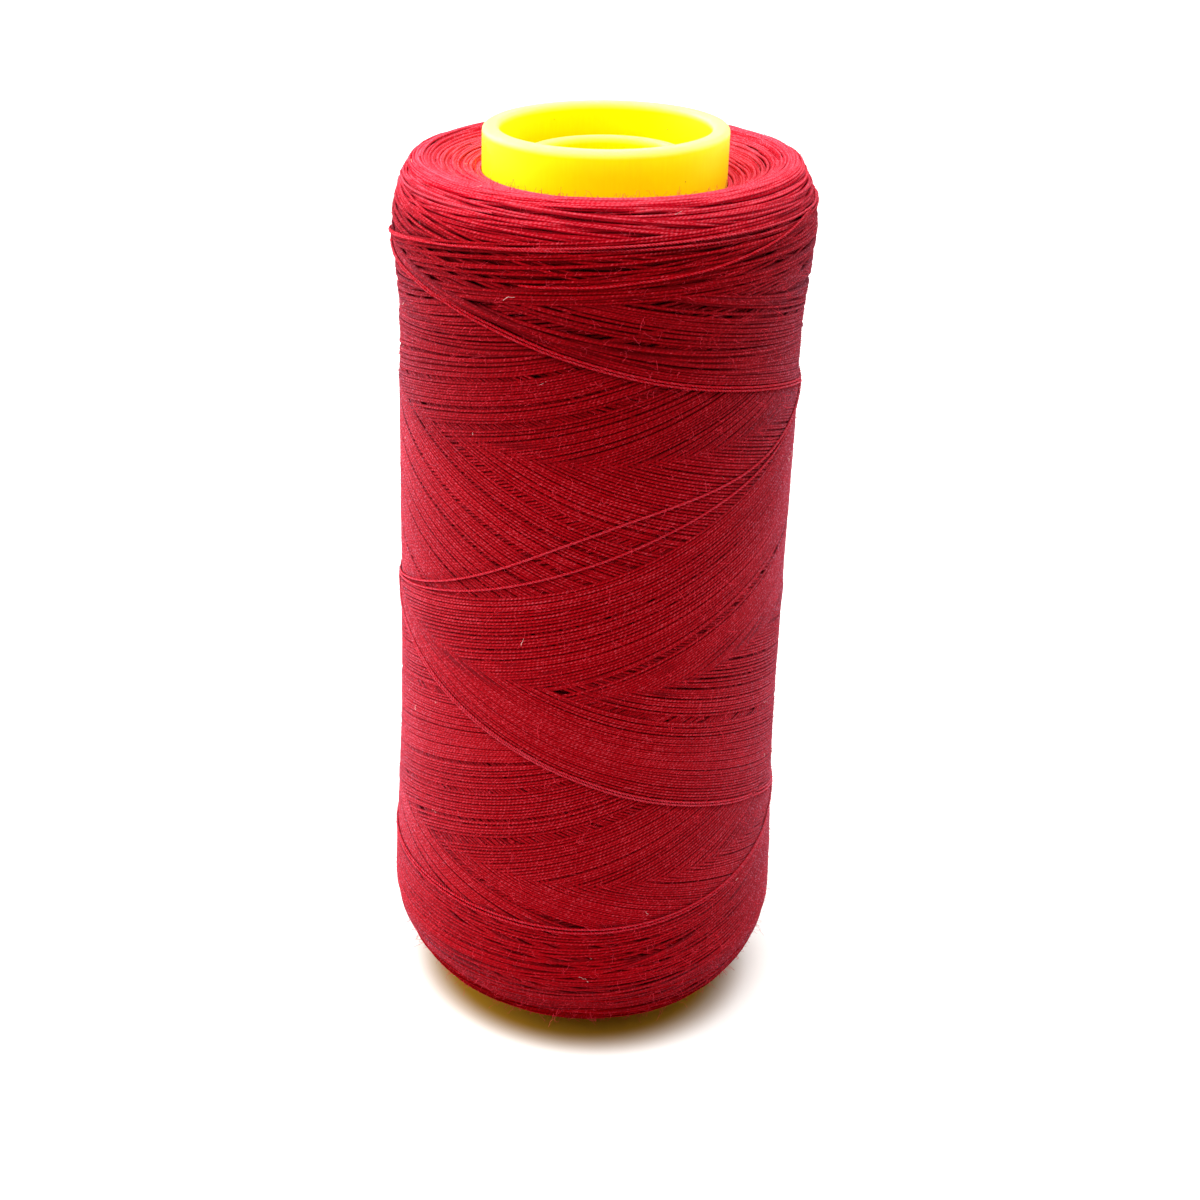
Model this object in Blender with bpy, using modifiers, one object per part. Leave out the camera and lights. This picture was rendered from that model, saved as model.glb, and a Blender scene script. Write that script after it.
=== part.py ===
"""Spool of sewing thread: a plastic core tube with a spindle sleeve in its bore, and one length of
thread wound on it in crossing bands, with its last few turns lying proud of the package.

Run with blender --background --python part.py, or from Blender's text editor.
Units are metres. +Z runs along the spool, and the origin is the centre of the face it stands on.
"""

import math

import bmesh
import bpy

MM = 0.001

# Core tube
TUBE_LENGTH = 135.0 * MM
TUBE_OUTER_RADIUS = 16.7 * MM
TUBE_WALL = 2.3 * MM
TUBE_EDGE_FILLET = 0.7 * MM

# Spindle sleeve, held in the tube's bore by radial ribs
SLEEVE_OUTER_RADIUS = 11.2 * MM
SLEEVE_WALL = 1.4 * MM
SLEEVE_EDGE_FILLET = 0.4 * MM
SLEEVE_RECESS = 3.8 * MM
RIB_COUNT = 6
RIB_THICKNESS = 1.2 * MM
RIB_RECESS = 5.0 * MM

# Thread package, wound on the tube
PACKAGE_RADIUS = 28.0 * MM
PACKAGE_BASE_INSET = 3.9 * MM
PACKAGE_TOP_INSET = 3.9 * MM
BASE_BULGE_HEIGHT = 1.1 * MM
BASE_BULGE_INSET = 13.0 * MM
BASE_BULGE_SPREAD = 20.0 * MM
TOP_BULGE_HEIGHT = 1.0 * MM
TOP_BULGE_INSET = 8.0 * MM
TOP_BULGE_SPREAD = 6.8 * MM
BASE_SHOULDER_HEIGHT = 12.5 * MM
BASE_SHOULDER_WIDTH = 7.2 * MM
BASE_SHOULDER_EXPONENT = 1.6
TOP_SHOULDER_HEIGHT = 12.4 * MM
TOP_SHOULDER_WIDTH = 3.1 * MM
TOP_SHOULDER_EXPONENT = 2.4
FACE_DISH_DEPTH = 2.6 * MM

# Single turns that lie loose on the package: place, rise to the higher side, and where that side is
THREAD_RADIUS = 0.14 * MM
TOP_TURN_INSET = 9.4 * MM
TOP_TURN_RISE = 4.0 * MM
TOP_TURN_HIGH_SIDE = -5.0
UPPER_TURN_ABOVE_MIDDLE = 17.4 * MM
UPPER_TURN_RISE = 13.0 * MM
UPPER_TURN_HIGH_SIDE = -15.0
LOWER_TURN_DROP = 3.5 * MM
LOWER_TURN_RISE = 12.0 * MM
LOWER_TURN_HIGH_SIDE = -10.0
BASE_TURN_INSET = 23.5 * MM
BASE_TURN_RISE = 4.0 * MM
BASE_TURN_HIGH_SIDE = 10.0

# Gap kept between two pieces that touch
CLEARANCE = 0.3 * MM

# Facets
TURN_STEPS = 72
BODY_STEPS = 14
SHOULDER_STEPS = 7
FILLET_STEPS = 3
LOOP_POINTS = 60
LOOP_RESOLUTION = 2
MERGE_DISTANCE = 0.00001

TUBE_BORE_RADIUS = TUBE_OUTER_RADIUS - TUBE_WALL
SLEEVE_BORE_RADIUS = SLEEVE_OUTER_RADIUS - SLEEVE_WALL
SLEEVE_BASE = SLEEVE_RECESS
SLEEVE_TOP = TUBE_LENGTH - SLEEVE_RECESS
PACKAGE_BASE = PACKAGE_BASE_INSET
PACKAGE_TOP = TUBE_LENGTH - PACKAGE_TOP_INSET
PACKAGE_BORE_RADIUS = TUBE_OUTER_RADIUS + CLEARANCE


def clear_scene():
    """Remove the objects of the open scene."""
    for item in list(bpy.data.objects):
        bpy.data.objects.remove(item, do_unlink=True)


def new_collection(name):
    """Return a new collection linked to the scene."""
    collection = bpy.data.collections.new(name)
    bpy.context.scene.collection.children.link(collection)
    return collection


def new_material(name, colour, roughness, metallic=0.0):
    """Return a Principled material with the given surface."""
    material = bpy.data.materials.new(name)
    material.use_nodes = True
    shader = material.node_tree.nodes["Principled BSDF"]
    shader.inputs["Base Color"].default_value = (*colour, 1.0)
    shader.inputs["Roughness"].default_value = roughness
    shader.inputs["Metallic"].default_value = metallic
    return material


def add_object(name, mesh, material, collection):
    """Link a mesh as a named, smooth-shaded object with its material."""
    item = bpy.data.objects.new(name, mesh)
    mesh.materials.append(material)
    mesh.shade_smooth()
    collection.objects.link(item)
    return item


def turned_mesh(name, profile):
    """Return a mesh of a closed outline of (radius, height) points in the XZ plane."""
    mesh = bpy.data.meshes.new(name)
    shape = bmesh.new()
    corners = [shape.verts.new((radius, 0.0, height)) for radius, height in profile]
    for first, second in zip(corners, corners[1:] + corners[:1]):
        shape.edges.new((first, second))
    shape.to_mesh(mesh)
    shape.free()
    return mesh


def add_turned(name, profile, material, collection):
    """Add a piece that is a closed outline turned round the Z axis."""
    item = add_object(name, turned_mesh(name, profile), material, collection)
    turn = item.modifiers.new("Turn", "SCREW")
    turn.axis = "Z"
    turn.angle = math.tau
    turn.steps = TURN_STEPS
    turn.render_steps = TURN_STEPS
    turn.use_merge_vertices = True
    turn.merge_threshold = MERGE_DISTANCE
    turn.use_smooth_shade = True
    return item


def arc(centre, radius, start, end, steps):
    """Return the points of an arc in the XZ plane, from start to end in degrees."""
    angles = [math.radians(start + (end - start) * step / steps) for step in range(steps + 1)]
    return [(centre[0] + radius * math.cos(a), centre[1] + radius * math.sin(a)) for a in angles]


def ring_profile(outer, inner, base, top, fillet):
    """Return the outline of a tube wall with four rounded edges, its outer side first, running down."""
    outline = arc((outer - fillet, top - fillet), fillet, 90.0, 0.0, FILLET_STEPS)
    outline += arc((outer - fillet, base + fillet), fillet, 0.0, -90.0, FILLET_STEPS)
    outline += arc((inner + fillet, base + fillet), fillet, -90.0, -180.0, FILLET_STEPS)
    outline += arc((inner + fillet, top - fillet), fillet, 180.0, 90.0, FILLET_STEPS)
    return outline


def bulge(distance, height, spread):
    """Return how far a package stands out at a distance from the middle of a bulge."""
    return height * math.exp(-((distance / spread) ** 2))


def package_radius(height):
    """Return the package's radius at a height, before its ends are rounded off."""
    from_base = height - PACKAGE_BASE - BASE_BULGE_INSET
    from_top = PACKAGE_TOP - TOP_BULGE_INSET - height
    base_bulge = bulge(from_base, BASE_BULGE_HEIGHT, BASE_BULGE_SPREAD)
    top_bulge = bulge(from_top, TOP_BULGE_HEIGHT, TOP_BULGE_SPREAD)
    return PACKAGE_RADIUS + base_bulge + top_bulge


def shoulder_drop(depth, height, width, exponent):
    """Return how far a rounded shoulder lies inside the package's radius, at a depth from its end."""
    share = max(0.0, 1.0 - depth / height)
    reach = (1.0 - share**exponent) ** (1.0 / exponent)
    return width * (1.0 - reach)


def package_side(height):
    """Return the radius of the package's outside at a height."""
    base_drop = shoulder_drop(
        height - PACKAGE_BASE, BASE_SHOULDER_HEIGHT, BASE_SHOULDER_WIDTH, BASE_SHOULDER_EXPONENT
    )
    top_drop = shoulder_drop(
        PACKAGE_TOP - height, TOP_SHOULDER_HEIGHT, TOP_SHOULDER_WIDTH, TOP_SHOULDER_EXPONENT
    )
    return package_radius(height) - base_drop - top_drop


def shoulder_depths(height):
    """Return the depths of the points on a shoulder, closer together towards the end face."""
    return [height * (step / SHOULDER_STEPS) ** 2 for step in range(SHOULDER_STEPS + 1)]


def package_profile():
    """Return the outline of the package: down its outside, then up the wall of its bore."""
    body_top = PACKAGE_TOP - TOP_SHOULDER_HEIGHT
    body_base = PACKAGE_BASE + BASE_SHOULDER_HEIGHT
    heights = [PACKAGE_TOP - depth for depth in shoulder_depths(TOP_SHOULDER_HEIGHT)]
    heights += [body_top + (body_base - body_top) * step / BODY_STEPS for step in range(1, BODY_STEPS)]
    heights += [PACKAGE_BASE + depth for depth in reversed(shoulder_depths(BASE_SHOULDER_HEIGHT))]
    outline = [(package_side(height), height) for height in heights]
    outline.append((PACKAGE_BORE_RADIUS, PACKAGE_BASE + FACE_DISH_DEPTH))
    outline.append((PACKAGE_BORE_RADIUS, PACKAGE_TOP - FACE_DISH_DEPTH))
    return outline


def add_core_tube(collection):
    """Add the plastic tube that the thread is wound on."""
    material = new_material("tube_plastic", (1.0, 0.83, 0.02), 0.35)
    profile = ring_profile(TUBE_OUTER_RADIUS, TUBE_BORE_RADIUS, 0.0, TUBE_LENGTH, TUBE_EDGE_FILLET)
    return add_turned("core_tube", profile, material, collection)


def add_rib_cutter(index, collection):
    """Add one rib as a block that runs from inside the sleeve's wall to the tube's bore."""
    inner = SLEEVE_OUTER_RADIUS - SLEEVE_WALL / 2.0
    outer = TUBE_BORE_RADIUS - CLEARANCE
    length = TUBE_LENGTH - 2.0 * (SLEEVE_RECESS + RIB_RECESS)
    mesh = bpy.data.meshes.new("rib")
    block = bmesh.new()
    bmesh.ops.create_cube(block, size=1.0)
    bmesh.ops.scale(block, vec=(outer - inner, RIB_THICKNESS, length), verts=block.verts)
    bmesh.ops.translate(block, vec=((outer + inner) / 2.0, 0.0, TUBE_LENGTH / 2.0), verts=block.verts)
    block.to_mesh(mesh)
    block.free()
    rib = bpy.data.objects.new(f"rib_{index + 1}", mesh)
    rib.rotation_euler.z = math.tau * index / RIB_COUNT
    rib.hide_render = True
    rib.display_type = "WIRE"
    collection.objects.link(rib)
    return rib


def add_spindle_sleeve(collection, cutters):
    """Add the sleeve that slides over the machine's spindle, with its ribs joined on."""
    material = new_material("sleeve_plastic", (1.0, 0.85, 0.04), 0.38)
    profile = ring_profile(
        SLEEVE_OUTER_RADIUS, SLEEVE_BORE_RADIUS, SLEEVE_BASE, SLEEVE_TOP, SLEEVE_EDGE_FILLET
    )
    sleeve = add_turned("spindle_sleeve", profile, material, collection)
    for index in range(RIB_COUNT):
        join = sleeve.modifiers.new(f"Rib {index + 1}", "BOOLEAN")
        join.operation = "UNION"
        join.solver = "EXACT"
        join.object = add_rib_cutter(index, cutters)
    return sleeve


def add_thread_package(collection):
    """Add the body of wound thread, with its bulged ends and dished end faces."""
    material = new_material("thread", (0.42, 0.005, 0.03), 0.85)
    return add_turned("thread_package", package_profile(), material, collection)


def add_loose_turn(name, mean_height, rise, high_side, material, collection):
    """Add one turn of thread that lies on the package, tilted so that one side is higher."""
    curve = bpy.data.curves.new(name, "CURVE")
    curve.dimensions = "3D"
    curve.bevel_depth = THREAD_RADIUS
    curve.bevel_resolution = LOOP_RESOLUTION
    spline = curve.splines.new("POLY")
    spline.points.add(LOOP_POINTS - 1)
    spline.use_cyclic_u = True
    for index, point in enumerate(spline.points):
        angle = math.tau * index / LOOP_POINTS
        height = mean_height + rise * math.cos(angle - math.radians(high_side))
        radius = package_side(height) + CLEARANCE + THREAD_RADIUS
        point.co = (radius * math.cos(angle), radius * math.sin(angle), height, 1.0)
    item = bpy.data.objects.new(name, curve)
    curve.materials.append(material)
    collection.objects.link(item)
    return item


def add_loose_turns(collection):
    """Add the single turns that lie proud of the package, each placed from the package's ends."""
    material = new_material("loose_thread", (0.5, 0.01, 0.05), 0.8)
    middle = (PACKAGE_BASE + PACKAGE_TOP) / 2.0
    top = PACKAGE_TOP - TOP_TURN_INSET
    upper = middle + UPPER_TURN_ABOVE_MIDDLE
    lower = upper - LOWER_TURN_DROP
    base = PACKAGE_BASE + BASE_TURN_INSET
    add_loose_turn("loose_turn_top", top, TOP_TURN_RISE, TOP_TURN_HIGH_SIDE, material, collection)
    add_loose_turn("loose_turn_upper", upper, UPPER_TURN_RISE, UPPER_TURN_HIGH_SIDE, material, collection)
    add_loose_turn("loose_turn_lower", lower, LOWER_TURN_RISE, LOWER_TURN_HIGH_SIDE, material, collection)
    add_loose_turn("loose_turn_base", base, BASE_TURN_RISE, BASE_TURN_HIGH_SIDE, material, collection)


def main():
    """Build the spool."""
    clear_scene()
    parts = new_collection("spool_of_thread")
    cutters = new_collection("cutters")
    add_core_tube(parts)
    add_spindle_sleeve(parts, cutters)
    add_thread_package(parts)
    add_loose_turns(parts)
    bpy.context.view_layer.update()


main()
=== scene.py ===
"""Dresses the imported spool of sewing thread.

Every strand of the outer layers is laid on the package as a winder lays it. The tube, the deeper layers,
loose fibres and a few specks of lint are modelled too, and the spindle sleeve gets its finish.
"""

import logging
import math
from dataclasses import dataclass, field
from enum import Enum
from typing import ClassVar, Iterable, Sequence

import bmesh
import bpy
import numpy as np
from mathutils import Matrix, Vector


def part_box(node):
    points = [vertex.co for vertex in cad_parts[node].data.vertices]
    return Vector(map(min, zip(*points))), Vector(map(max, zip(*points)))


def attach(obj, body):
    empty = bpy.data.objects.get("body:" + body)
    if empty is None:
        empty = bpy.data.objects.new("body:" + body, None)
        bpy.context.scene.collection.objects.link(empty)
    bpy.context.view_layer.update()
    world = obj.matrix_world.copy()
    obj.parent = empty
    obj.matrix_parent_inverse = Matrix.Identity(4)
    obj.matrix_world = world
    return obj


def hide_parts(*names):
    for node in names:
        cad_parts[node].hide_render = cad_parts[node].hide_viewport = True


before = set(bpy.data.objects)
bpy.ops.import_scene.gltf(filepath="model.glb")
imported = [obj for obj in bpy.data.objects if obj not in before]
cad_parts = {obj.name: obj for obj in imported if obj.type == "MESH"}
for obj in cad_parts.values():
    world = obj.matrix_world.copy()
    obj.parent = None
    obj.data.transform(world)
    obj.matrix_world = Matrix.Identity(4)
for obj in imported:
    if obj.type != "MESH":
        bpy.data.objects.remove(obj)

LOG = logging.getLogger("spool")
MM = 0.001
ROOT = "root"
PIECE_TRIANGLES = 195000
GOLDEN = 0.6180339
NOWHERE = -1.0e9
CORE_REACH, CORE_LOW, CORE_HIGH = 0.020, 0.016, 0.118

Point = tuple[float, float]
Colour = tuple[float, float, float]


class Slot(Enum):
    """The record's material slots, which are passed along with the new pieces."""

    TUBE = "core_tube"
    THREAD = "thread"
    LOOSE = "loose_thread"


class Kind(Enum):
    """The kinds of laid thread."""

    LOWER_END = "level turns at the lower end"
    UPPER_END = "level turns at the upper end"
    BAND = "crossing bands"
    LOOSE = "last strokes, which lie slack"
    FREE_END = "free end"


# ---------------------------------------------------------------------------------------------------
# Shader maths


class Socket:
    """A node socket that takes part in Python arithmetic by adding Math nodes."""

    def __init__(self, shader: "Shader", socket: bpy.types.NodeSocket) -> None:
        """Wrap a socket of one of the shader's nodes."""
        self.shader = shader
        self.socket = socket

    def _math(self, operation: str, *values: "Socket | float") -> "Socket":
        """Return the result of a Math node."""
        return self.shader.node("ShaderNodeMath", {"operation": operation}, dict(enumerate(values)))

    def __add__(self, other: "Socket | float") -> "Socket":
        """Add."""
        return self._math("ADD", self, other)

    __radd__ = __add__

    def __sub__(self, other: "Socket | float") -> "Socket":
        """Subtract."""
        return self._math("SUBTRACT", self, other)

    def __rsub__(self, other: float) -> "Socket":
        """Subtract from a number."""
        return self._math("SUBTRACT", other, self)

    def __mul__(self, other: "Socket | float") -> "Socket":
        """Multiply."""
        return self._math("MULTIPLY", self, other)

    __rmul__ = __mul__

    def __truediv__(self, other: "Socket | float") -> "Socket":
        """Divide."""
        return self._math("DIVIDE", self, other)

    def __rtruediv__(self, other: float) -> "Socket":
        """Divide a number."""
        return self._math("DIVIDE", other, self)

    def sine(self) -> "Socket":
        """Return the sine."""
        return self._math("SINE", self)

    def root(self) -> "Socket":
        """Return the square root."""
        return self._math("POWER", self, 0.5)

    def at_least(self, low: float) -> "Socket":
        """Return the value, or the given number where the value is less."""
        return self._math("MAXIMUM", self, low)

    def limited(self, low: float = 0.0, high: float = 1.0) -> "Socket":
        """Return the value kept between two numbers."""
        return self.shader.node("ShaderNodeClamp", {}, {"Value": self, "Min": low, "Max": high})

    def spread(self, low: float, high: float, to_low: float = 0.0, to_high: float = 1.0) -> "Socket":
        """Map one range of values on another, smoothly and within its ends."""
        values = {"Value": self, "From Min": low, "From Max": high, "To Min": to_low, "To Max": to_high}
        return self.shader.node("ShaderNodeMapRange", {"interpolation_type": "SMOOTHSTEP"}, values)


class Shader:
    """Builds the nodes of one material or world."""

    def __init__(self, owner: bpy.types.Material | bpy.types.World) -> None:
        """Start with no nodes.

        Args:
            owner: The material or world that the nodes belong to.
        """
        owner.use_nodes = True
        self.owner = owner
        self.tree = owner.node_tree
        self.tree.nodes.clear()

    @classmethod
    def of_material(cls, name: str) -> "Shader":
        """Start a new material."""
        return cls(bpy.data.materials.new(name))

    def add(self, kind: str, settings: dict, inputs: dict) -> bpy.types.Node:
        """Add a node.

        Args:
            kind: The node's type.
            settings: Attributes, which are set before the sockets.
            inputs: Values or links for the node's inputs, by name or number. A colour has three parts.

        Returns:
            The new node.
        """
        node = self.tree.nodes.new(kind)
        for key, value in settings.items():
            setattr(node, key, value)
        for key, value in inputs.items():
            target = node.inputs[key]
            if isinstance(value, Socket):
                self.tree.links.new(value.socket, target)
            elif target.type == "RGBA":
                target.default_value = (*value, 1.0)
            else:
                target.default_value = value
        return node

    def node(self, kind: str, settings: dict, inputs: dict, output: int | str = 0) -> Socket:
        """Add a node and return one of its outputs, the first unless another is named."""
        return Socket(self, self.add(kind, settings, inputs).outputs[output])

    def places(self) -> Socket:
        """Return the object coordinates."""
        return self.node("ShaderNodeTexCoord", {}, {}, "Object")

    def split(self, vector: Socket) -> tuple[Socket, ...]:
        """Return the three parts of a vector."""
        parts = self.add("ShaderNodeSeparateXYZ", {}, {0: vector}).outputs
        return tuple(Socket(self, part) for part in parts)

    def vector(self, operation: str, inputs: dict, output: int | str = 0) -> Socket:
        """Return the result of a Vector Math node."""
        return self.node("ShaderNodeVectorMath", {"operation": operation}, inputs, output)

    def stretched(self, vector: Socket, scale: tuple[float, float, float]) -> Socket:
        """Return coordinates stretched along each axis."""
        return self.node("ShaderNodeMapping", {"vector_type": "POINT"}, {"Vector": vector, "Scale": scale})

    def attribute(self, label: str) -> Socket:
        """Return one of the mesh's own attributes."""
        return self.node("ShaderNodeAttribute", {"attribute_name": label}, {}, "Fac")

    def noise(self, vector: Socket, scale: float, detail: float = 3.0, rough: float = 0.5) -> Socket:
        """Return a noise value that varies over the given coordinates."""
        values = {"Vector": vector, "Scale": scale, "Detail": detail, "Roughness": rough}
        return self.node("ShaderNodeTexNoise", {}, values, "Fac")

    def blend(self, factor: Socket, first: Colour | Socket, second: Colour | Socket) -> Socket:
        """Mix two colours."""
        return self.node("ShaderNodeMix", {"data_type": "RGBA"}, {0: factor, 6: first, 7: second}, 2)

    def bump(self, height: Socket, strength: float, distance: float) -> Socket:
        """Return the normal of a surface that stands up by a height."""
        values = {"Height": height, "Strength": strength, "Distance": distance}
        return self.node("ShaderNodeBump", {}, values)

    def principled(self, values: dict) -> Socket:
        """Return a Principled surface."""
        return self.node("ShaderNodeBsdfPrincipled", {}, values)

    def mixed(self, share: Socket, first: Socket, second: Socket) -> Socket:
        """Return a mix of two surfaces."""
        return self.node("ShaderNodeMixShader", {}, {0: share, 1: first, 2: second})

    def finish(self, surface: Socket) -> bpy.types.Material | bpy.types.World:
        """Connect the output.

        Args:
            surface: The surface, or a world's background.

        Returns:
            The material or world that the nodes belong to.
        """
        kind = "World" if isinstance(self.owner, bpy.types.World) else "Material"
        self.add(f"ShaderNodeOutput{kind}", {}, {"Surface": surface})
        return self.owner


def weighed(marks: dict[str, Socket], weights: dict[str, float], start: float = 0.0) -> Socket:
    """Return the weighted sum of the marks that have a weight, on top of a start."""
    return sum((marks[name] * weight for name, weight in weights.items()), start)


# ---------------------------------------------------------------------------------------------------
# Finishes


@dataclass(frozen=True)
class ThreadFinish:
    """Spun polyester thread: two plies twisted together, matt, with a bloom of fine fibres.

    The bloom is a second, very soft lobe. It stands off the whole package and not off each strand, so it
    shows where the package is seen at a slant. Lengths along a strand are in millimetres, and heights on
    the package in metres.

    Tone, light and shade weights say what brightens the dyed thread: tint, patches and flecks are its own
    tone, twist, crest, line, highlight bars, highlight dashes and slope paint highlight and light on it, and
    the painted shoulder shade darkens it. Fibre, light and shade weights say what shows its pale fibres,
    which specks, patches and tint give, and the painted highlight that the crest marks, crown and slope give;
    painted shade takes them away where strands are buried, below the shoulder and at the foot. A pair that is
    named for a mark, such as the highlight ridge, says where that mark starts and where it is full.
    """

    # Own tone, with painted highlight on crests, plies and upward slopes and painted shade below the
    # shoulder.
    tone_light_and_shade_weights: ClassVar[dict[str, float]] = {
        "twist": 0.20,
        "tint": 0.25,
        "patch": 0.30,
        "fleck": 1.10,
        "crest": 0.45,
        "highlight_bars": 0.30,
        "line": 0.20,
        "highlight_dash": 0.20,
        "slope": 0.14,
        "painted_shoulder_shade": -0.38,
    }
    # Pale fibres, with painted highlight on crests, tops and slopes and painted shade where strands are
    # buried, below the shoulder and at the foot.
    fibre_light_and_shade_weights: ClassVar[dict[str, float]] = {
        "speck": 0.20,
        "highlight_dash": 0.18,
        "highlight_bars": 0.30,
        "line": 0.08,
        "patch": 0.20,
        "tint": 0.12,
        "crown": 0.36,
        "slope": 0.06,
        "buried": -0.80,
        "painted_shoulder_shade": -0.10,
        "foot": -0.12,
    }
    relief_weights: ClassVar[dict[str, float]] = {"twist": 0.35, "fleck": 0.8}
    bloom_weights: ClassVar[dict[str, float]] = {"speck": 0.8, "crown": 0.2}

    name: str
    # Painted shade: the colour of strands that lie below their neighbours.
    shaded: Colour = (0.10, 0.0, 0.0006)
    deep: Colour = (0.13, 0.0, 0.0003)
    middle: Colour = (0.42, 0.0004, 0.0040)
    # Painted light: the colour that the upward faces of the package blend towards.
    painted_top_light: Colour = (0.70, 0.0020, 0.0160)
    # The colour of pale fibres and of painted highlight.
    pale_fibre_and_highlight: Colour = (1.0, 0.1900, 0.2600)
    tone_light_and_shade_start: float = -0.92
    fibre_light_and_shade_start: float = -0.50
    twist: float = 1.0
    twist_length: float = 0.62
    dash_scale: tuple[float, float, float] = (0.8, 2.6, 1.0)
    patch_scale: float = 260.0
    fleck_scale: float = 3800.0
    # The crown and slope ranges pick upward faces, which are painted lighter as if lit from above and take
    # less painted shade.
    crown: Point = (0.60, 0.97)
    slope: Point = (0.20, 0.75)
    # The crest of each strand, picked by this highlight ridge and the dash ridge, takes a painted highlight
    # in lines, bars and dashes.
    highlight_ridge: Point = (0.45, 0.92)
    highlight_dash: Point = (0.46, 0.66)
    dash_ridge: Point = (0.10, 0.95)
    speck: Point = (0.50, 0.68)
    # How much of the painted shade of buried strands upward slopes lose.
    slope_shade_cut: float = 0.5
    # Painted light: how far the crown goes towards the lighter top colour.
    crown_painted_light: float = 0.9
    # How far the painted shade of buried strands goes towards the shaded colour.
    buried_painted_shade: float = 0.85
    # Painted shade: the heights over which the wall below the shoulder grows darker.
    painted_shoulder_shade: Point = (0.091, 0.101)
    # Painted shade: the heights near the table over which pale fibres and bloom fade out.
    foot: Point = (0.014, 0.036)
    relief: float = 0.00006
    relief_strength: float = 0.65
    roughness: float = 0.8
    softness: float = 1.1
    bloom: Point = (0.16, 0.88)
    # Painted shade: bloom fades on downward faces, where little light reaches.
    bloom_below: tuple[float, float, float, float] = (-0.8, -0.1, 0.2, 1.0)
    bloom_foot: float = 0.35
    bloom_tint: Colour = (1.0, 0.58, 0.84)
    bloom_roughness: float = 0.45
    bloom_ground: Colour = (0.30, 0.0010, 0.0040)

    def outward(self, shader: Shader) -> tuple[Socket, Socket, Socket]:
        """Return the direction out of the whole package, its upward part, and the height.

        Args:
            shader: The material's nodes.

        Returns:
            A unit vector away from a thick core inside the package, that vector's Z, and the place's Z.
        """
        x, y, z = shader.split(shader.places())
        flat = (x * x + y * y).root()
        share = (flat - CORE_REACH).at_least(0.0) / (flat + 0.0001)
        above = z - z.limited(CORE_LOW, CORE_HIGH)
        line = shader.node("ShaderNodeCombineXYZ", {}, {0: x * share, 1: y * share, 2: above})
        direction = shader.vector("NORMALIZE", {0: line})
        return direction, shader.split(direction)[2], z

    def marks(self, shader: Shader, upward: Socket, height: Socket) -> dict[str, Socket]:
        """Return what varies over the thread.

        Args:
            shader: The material's nodes.
            upward: The upward part of the direction out of the package.
            height: The height on the package.

        Returns:
            Values from about 0 to 1, by name: on one strand its twist, tint, crest, the line of painted
                highlight along
            the crest, highlight bars of that line on each ply, highlight dashes and the painted shade of
            burial; over the package its patches, flecks, specks, crown, slope, painted shade on the wall
            below the crown, and foot.
            The twist, crest, crown and slope also paint highlight and light, and the foot takes pale fibres
            and bloom away as painted shade.
        """
        places = shader.places()
        strand = shader.node("ShaderNodeUVMap", {"uv_map": "Strand"}, {})
        along, around, _ = shader.split(strand)
        tint, crest, depth = (shader.attribute(label) for label in ("tint", "crest", "depth"))
        # The twist, the crest line, its bars and the dashes paint highlight on the crest of each strand and
        # ply.
        ply = ((along / self.twist_length + around * 2.0) * math.tau).sine() * 0.5 + 0.5
        streaks = shader.noise(shader.stretched(strand, self.dash_scale), 1.0, 2.0, 0.6)
        fleck = shader.noise(places, self.fleck_scale, 3.0, 0.7)
        line = crest.spread(*self.highlight_ridge)
        crown = upward.spread(*self.crown)
        slope = upward.spread(*self.slope)
        return {
            "twist": ply * self.twist,
            "tint": tint,
            "crest": crest,
            "line": line,
            "highlight_bars": line * ply,
            "highlight_dash": streaks.spread(*self.highlight_dash) * crest.spread(*self.dash_ridge),
            # The painted shade of buried strands, less on upward slopes.
            "buried": depth * (1.0 - slope * self.slope_shade_cut),
            "patch": shader.noise(places, self.patch_scale, 4.0, 0.6),
            "fleck": fleck,
            "speck": fleck.spread(*self.speck),
            "crown": crown,
            "slope": slope,
            # Painted shade on the wall below the shoulder.
            "painted_shoulder_shade": height.spread(*self.painted_shoulder_shade) * (1.0 - crown),
            "foot": height.spread(*self.foot, 1.0, 0.0),
        }

    def body(self, shader: Shader, marks: dict[str, Socket], outward: Socket) -> Socket:
        """Return the dyed thread itself, with painted highlight, painted light and painted shade in its
        colour.

        Args:
            shader: The material's nodes.
            marks: What varies over the thread.
            outward: The direction out of the whole package, towards which the normals lean.

        Returns:
            The surface.
        """
        ground = weighed(marks, self.tone_light_and_shade_weights, self.tone_light_and_shade_start)
        fibres_light_and_shade = weighed(marks, self.fibre_light_and_shade_weights, self.fibre_light_and_shade_start)
        colour = shader.blend(ground.limited(), self.deep, self.middle)
        # Painted light: upward faces are blended towards the lighter top colour.
        colour = shader.blend((marks["crown"] * self.crown_painted_light).limited(), colour, self.painted_top_light)
        # Pale fibres and painted highlight.
        colour = shader.blend(fibres_light_and_shade.limited(), colour, self.pale_fibre_and_highlight)
        # Painted shade: buried strands are blended towards the shaded colour.
        colour = shader.blend((marks["buried"] * self.buried_painted_shade).limited(), colour, self.shaded)
        relief = shader.bump(weighed(marks, self.relief_weights), self.relief_strength, self.relief)
        lean = shader.vector("SCALE", {0: outward, "Scale": self.softness})
        values = {
            "Base Color": colour,
            "Roughness": self.roughness,
            "Specular IOR Level": 0.0,
            "Normal": shader.vector("NORMALIZE", {0: shader.vector("ADD", {0: relief, 1: lean})}),
        }
        return shader.principled(values)

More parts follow.
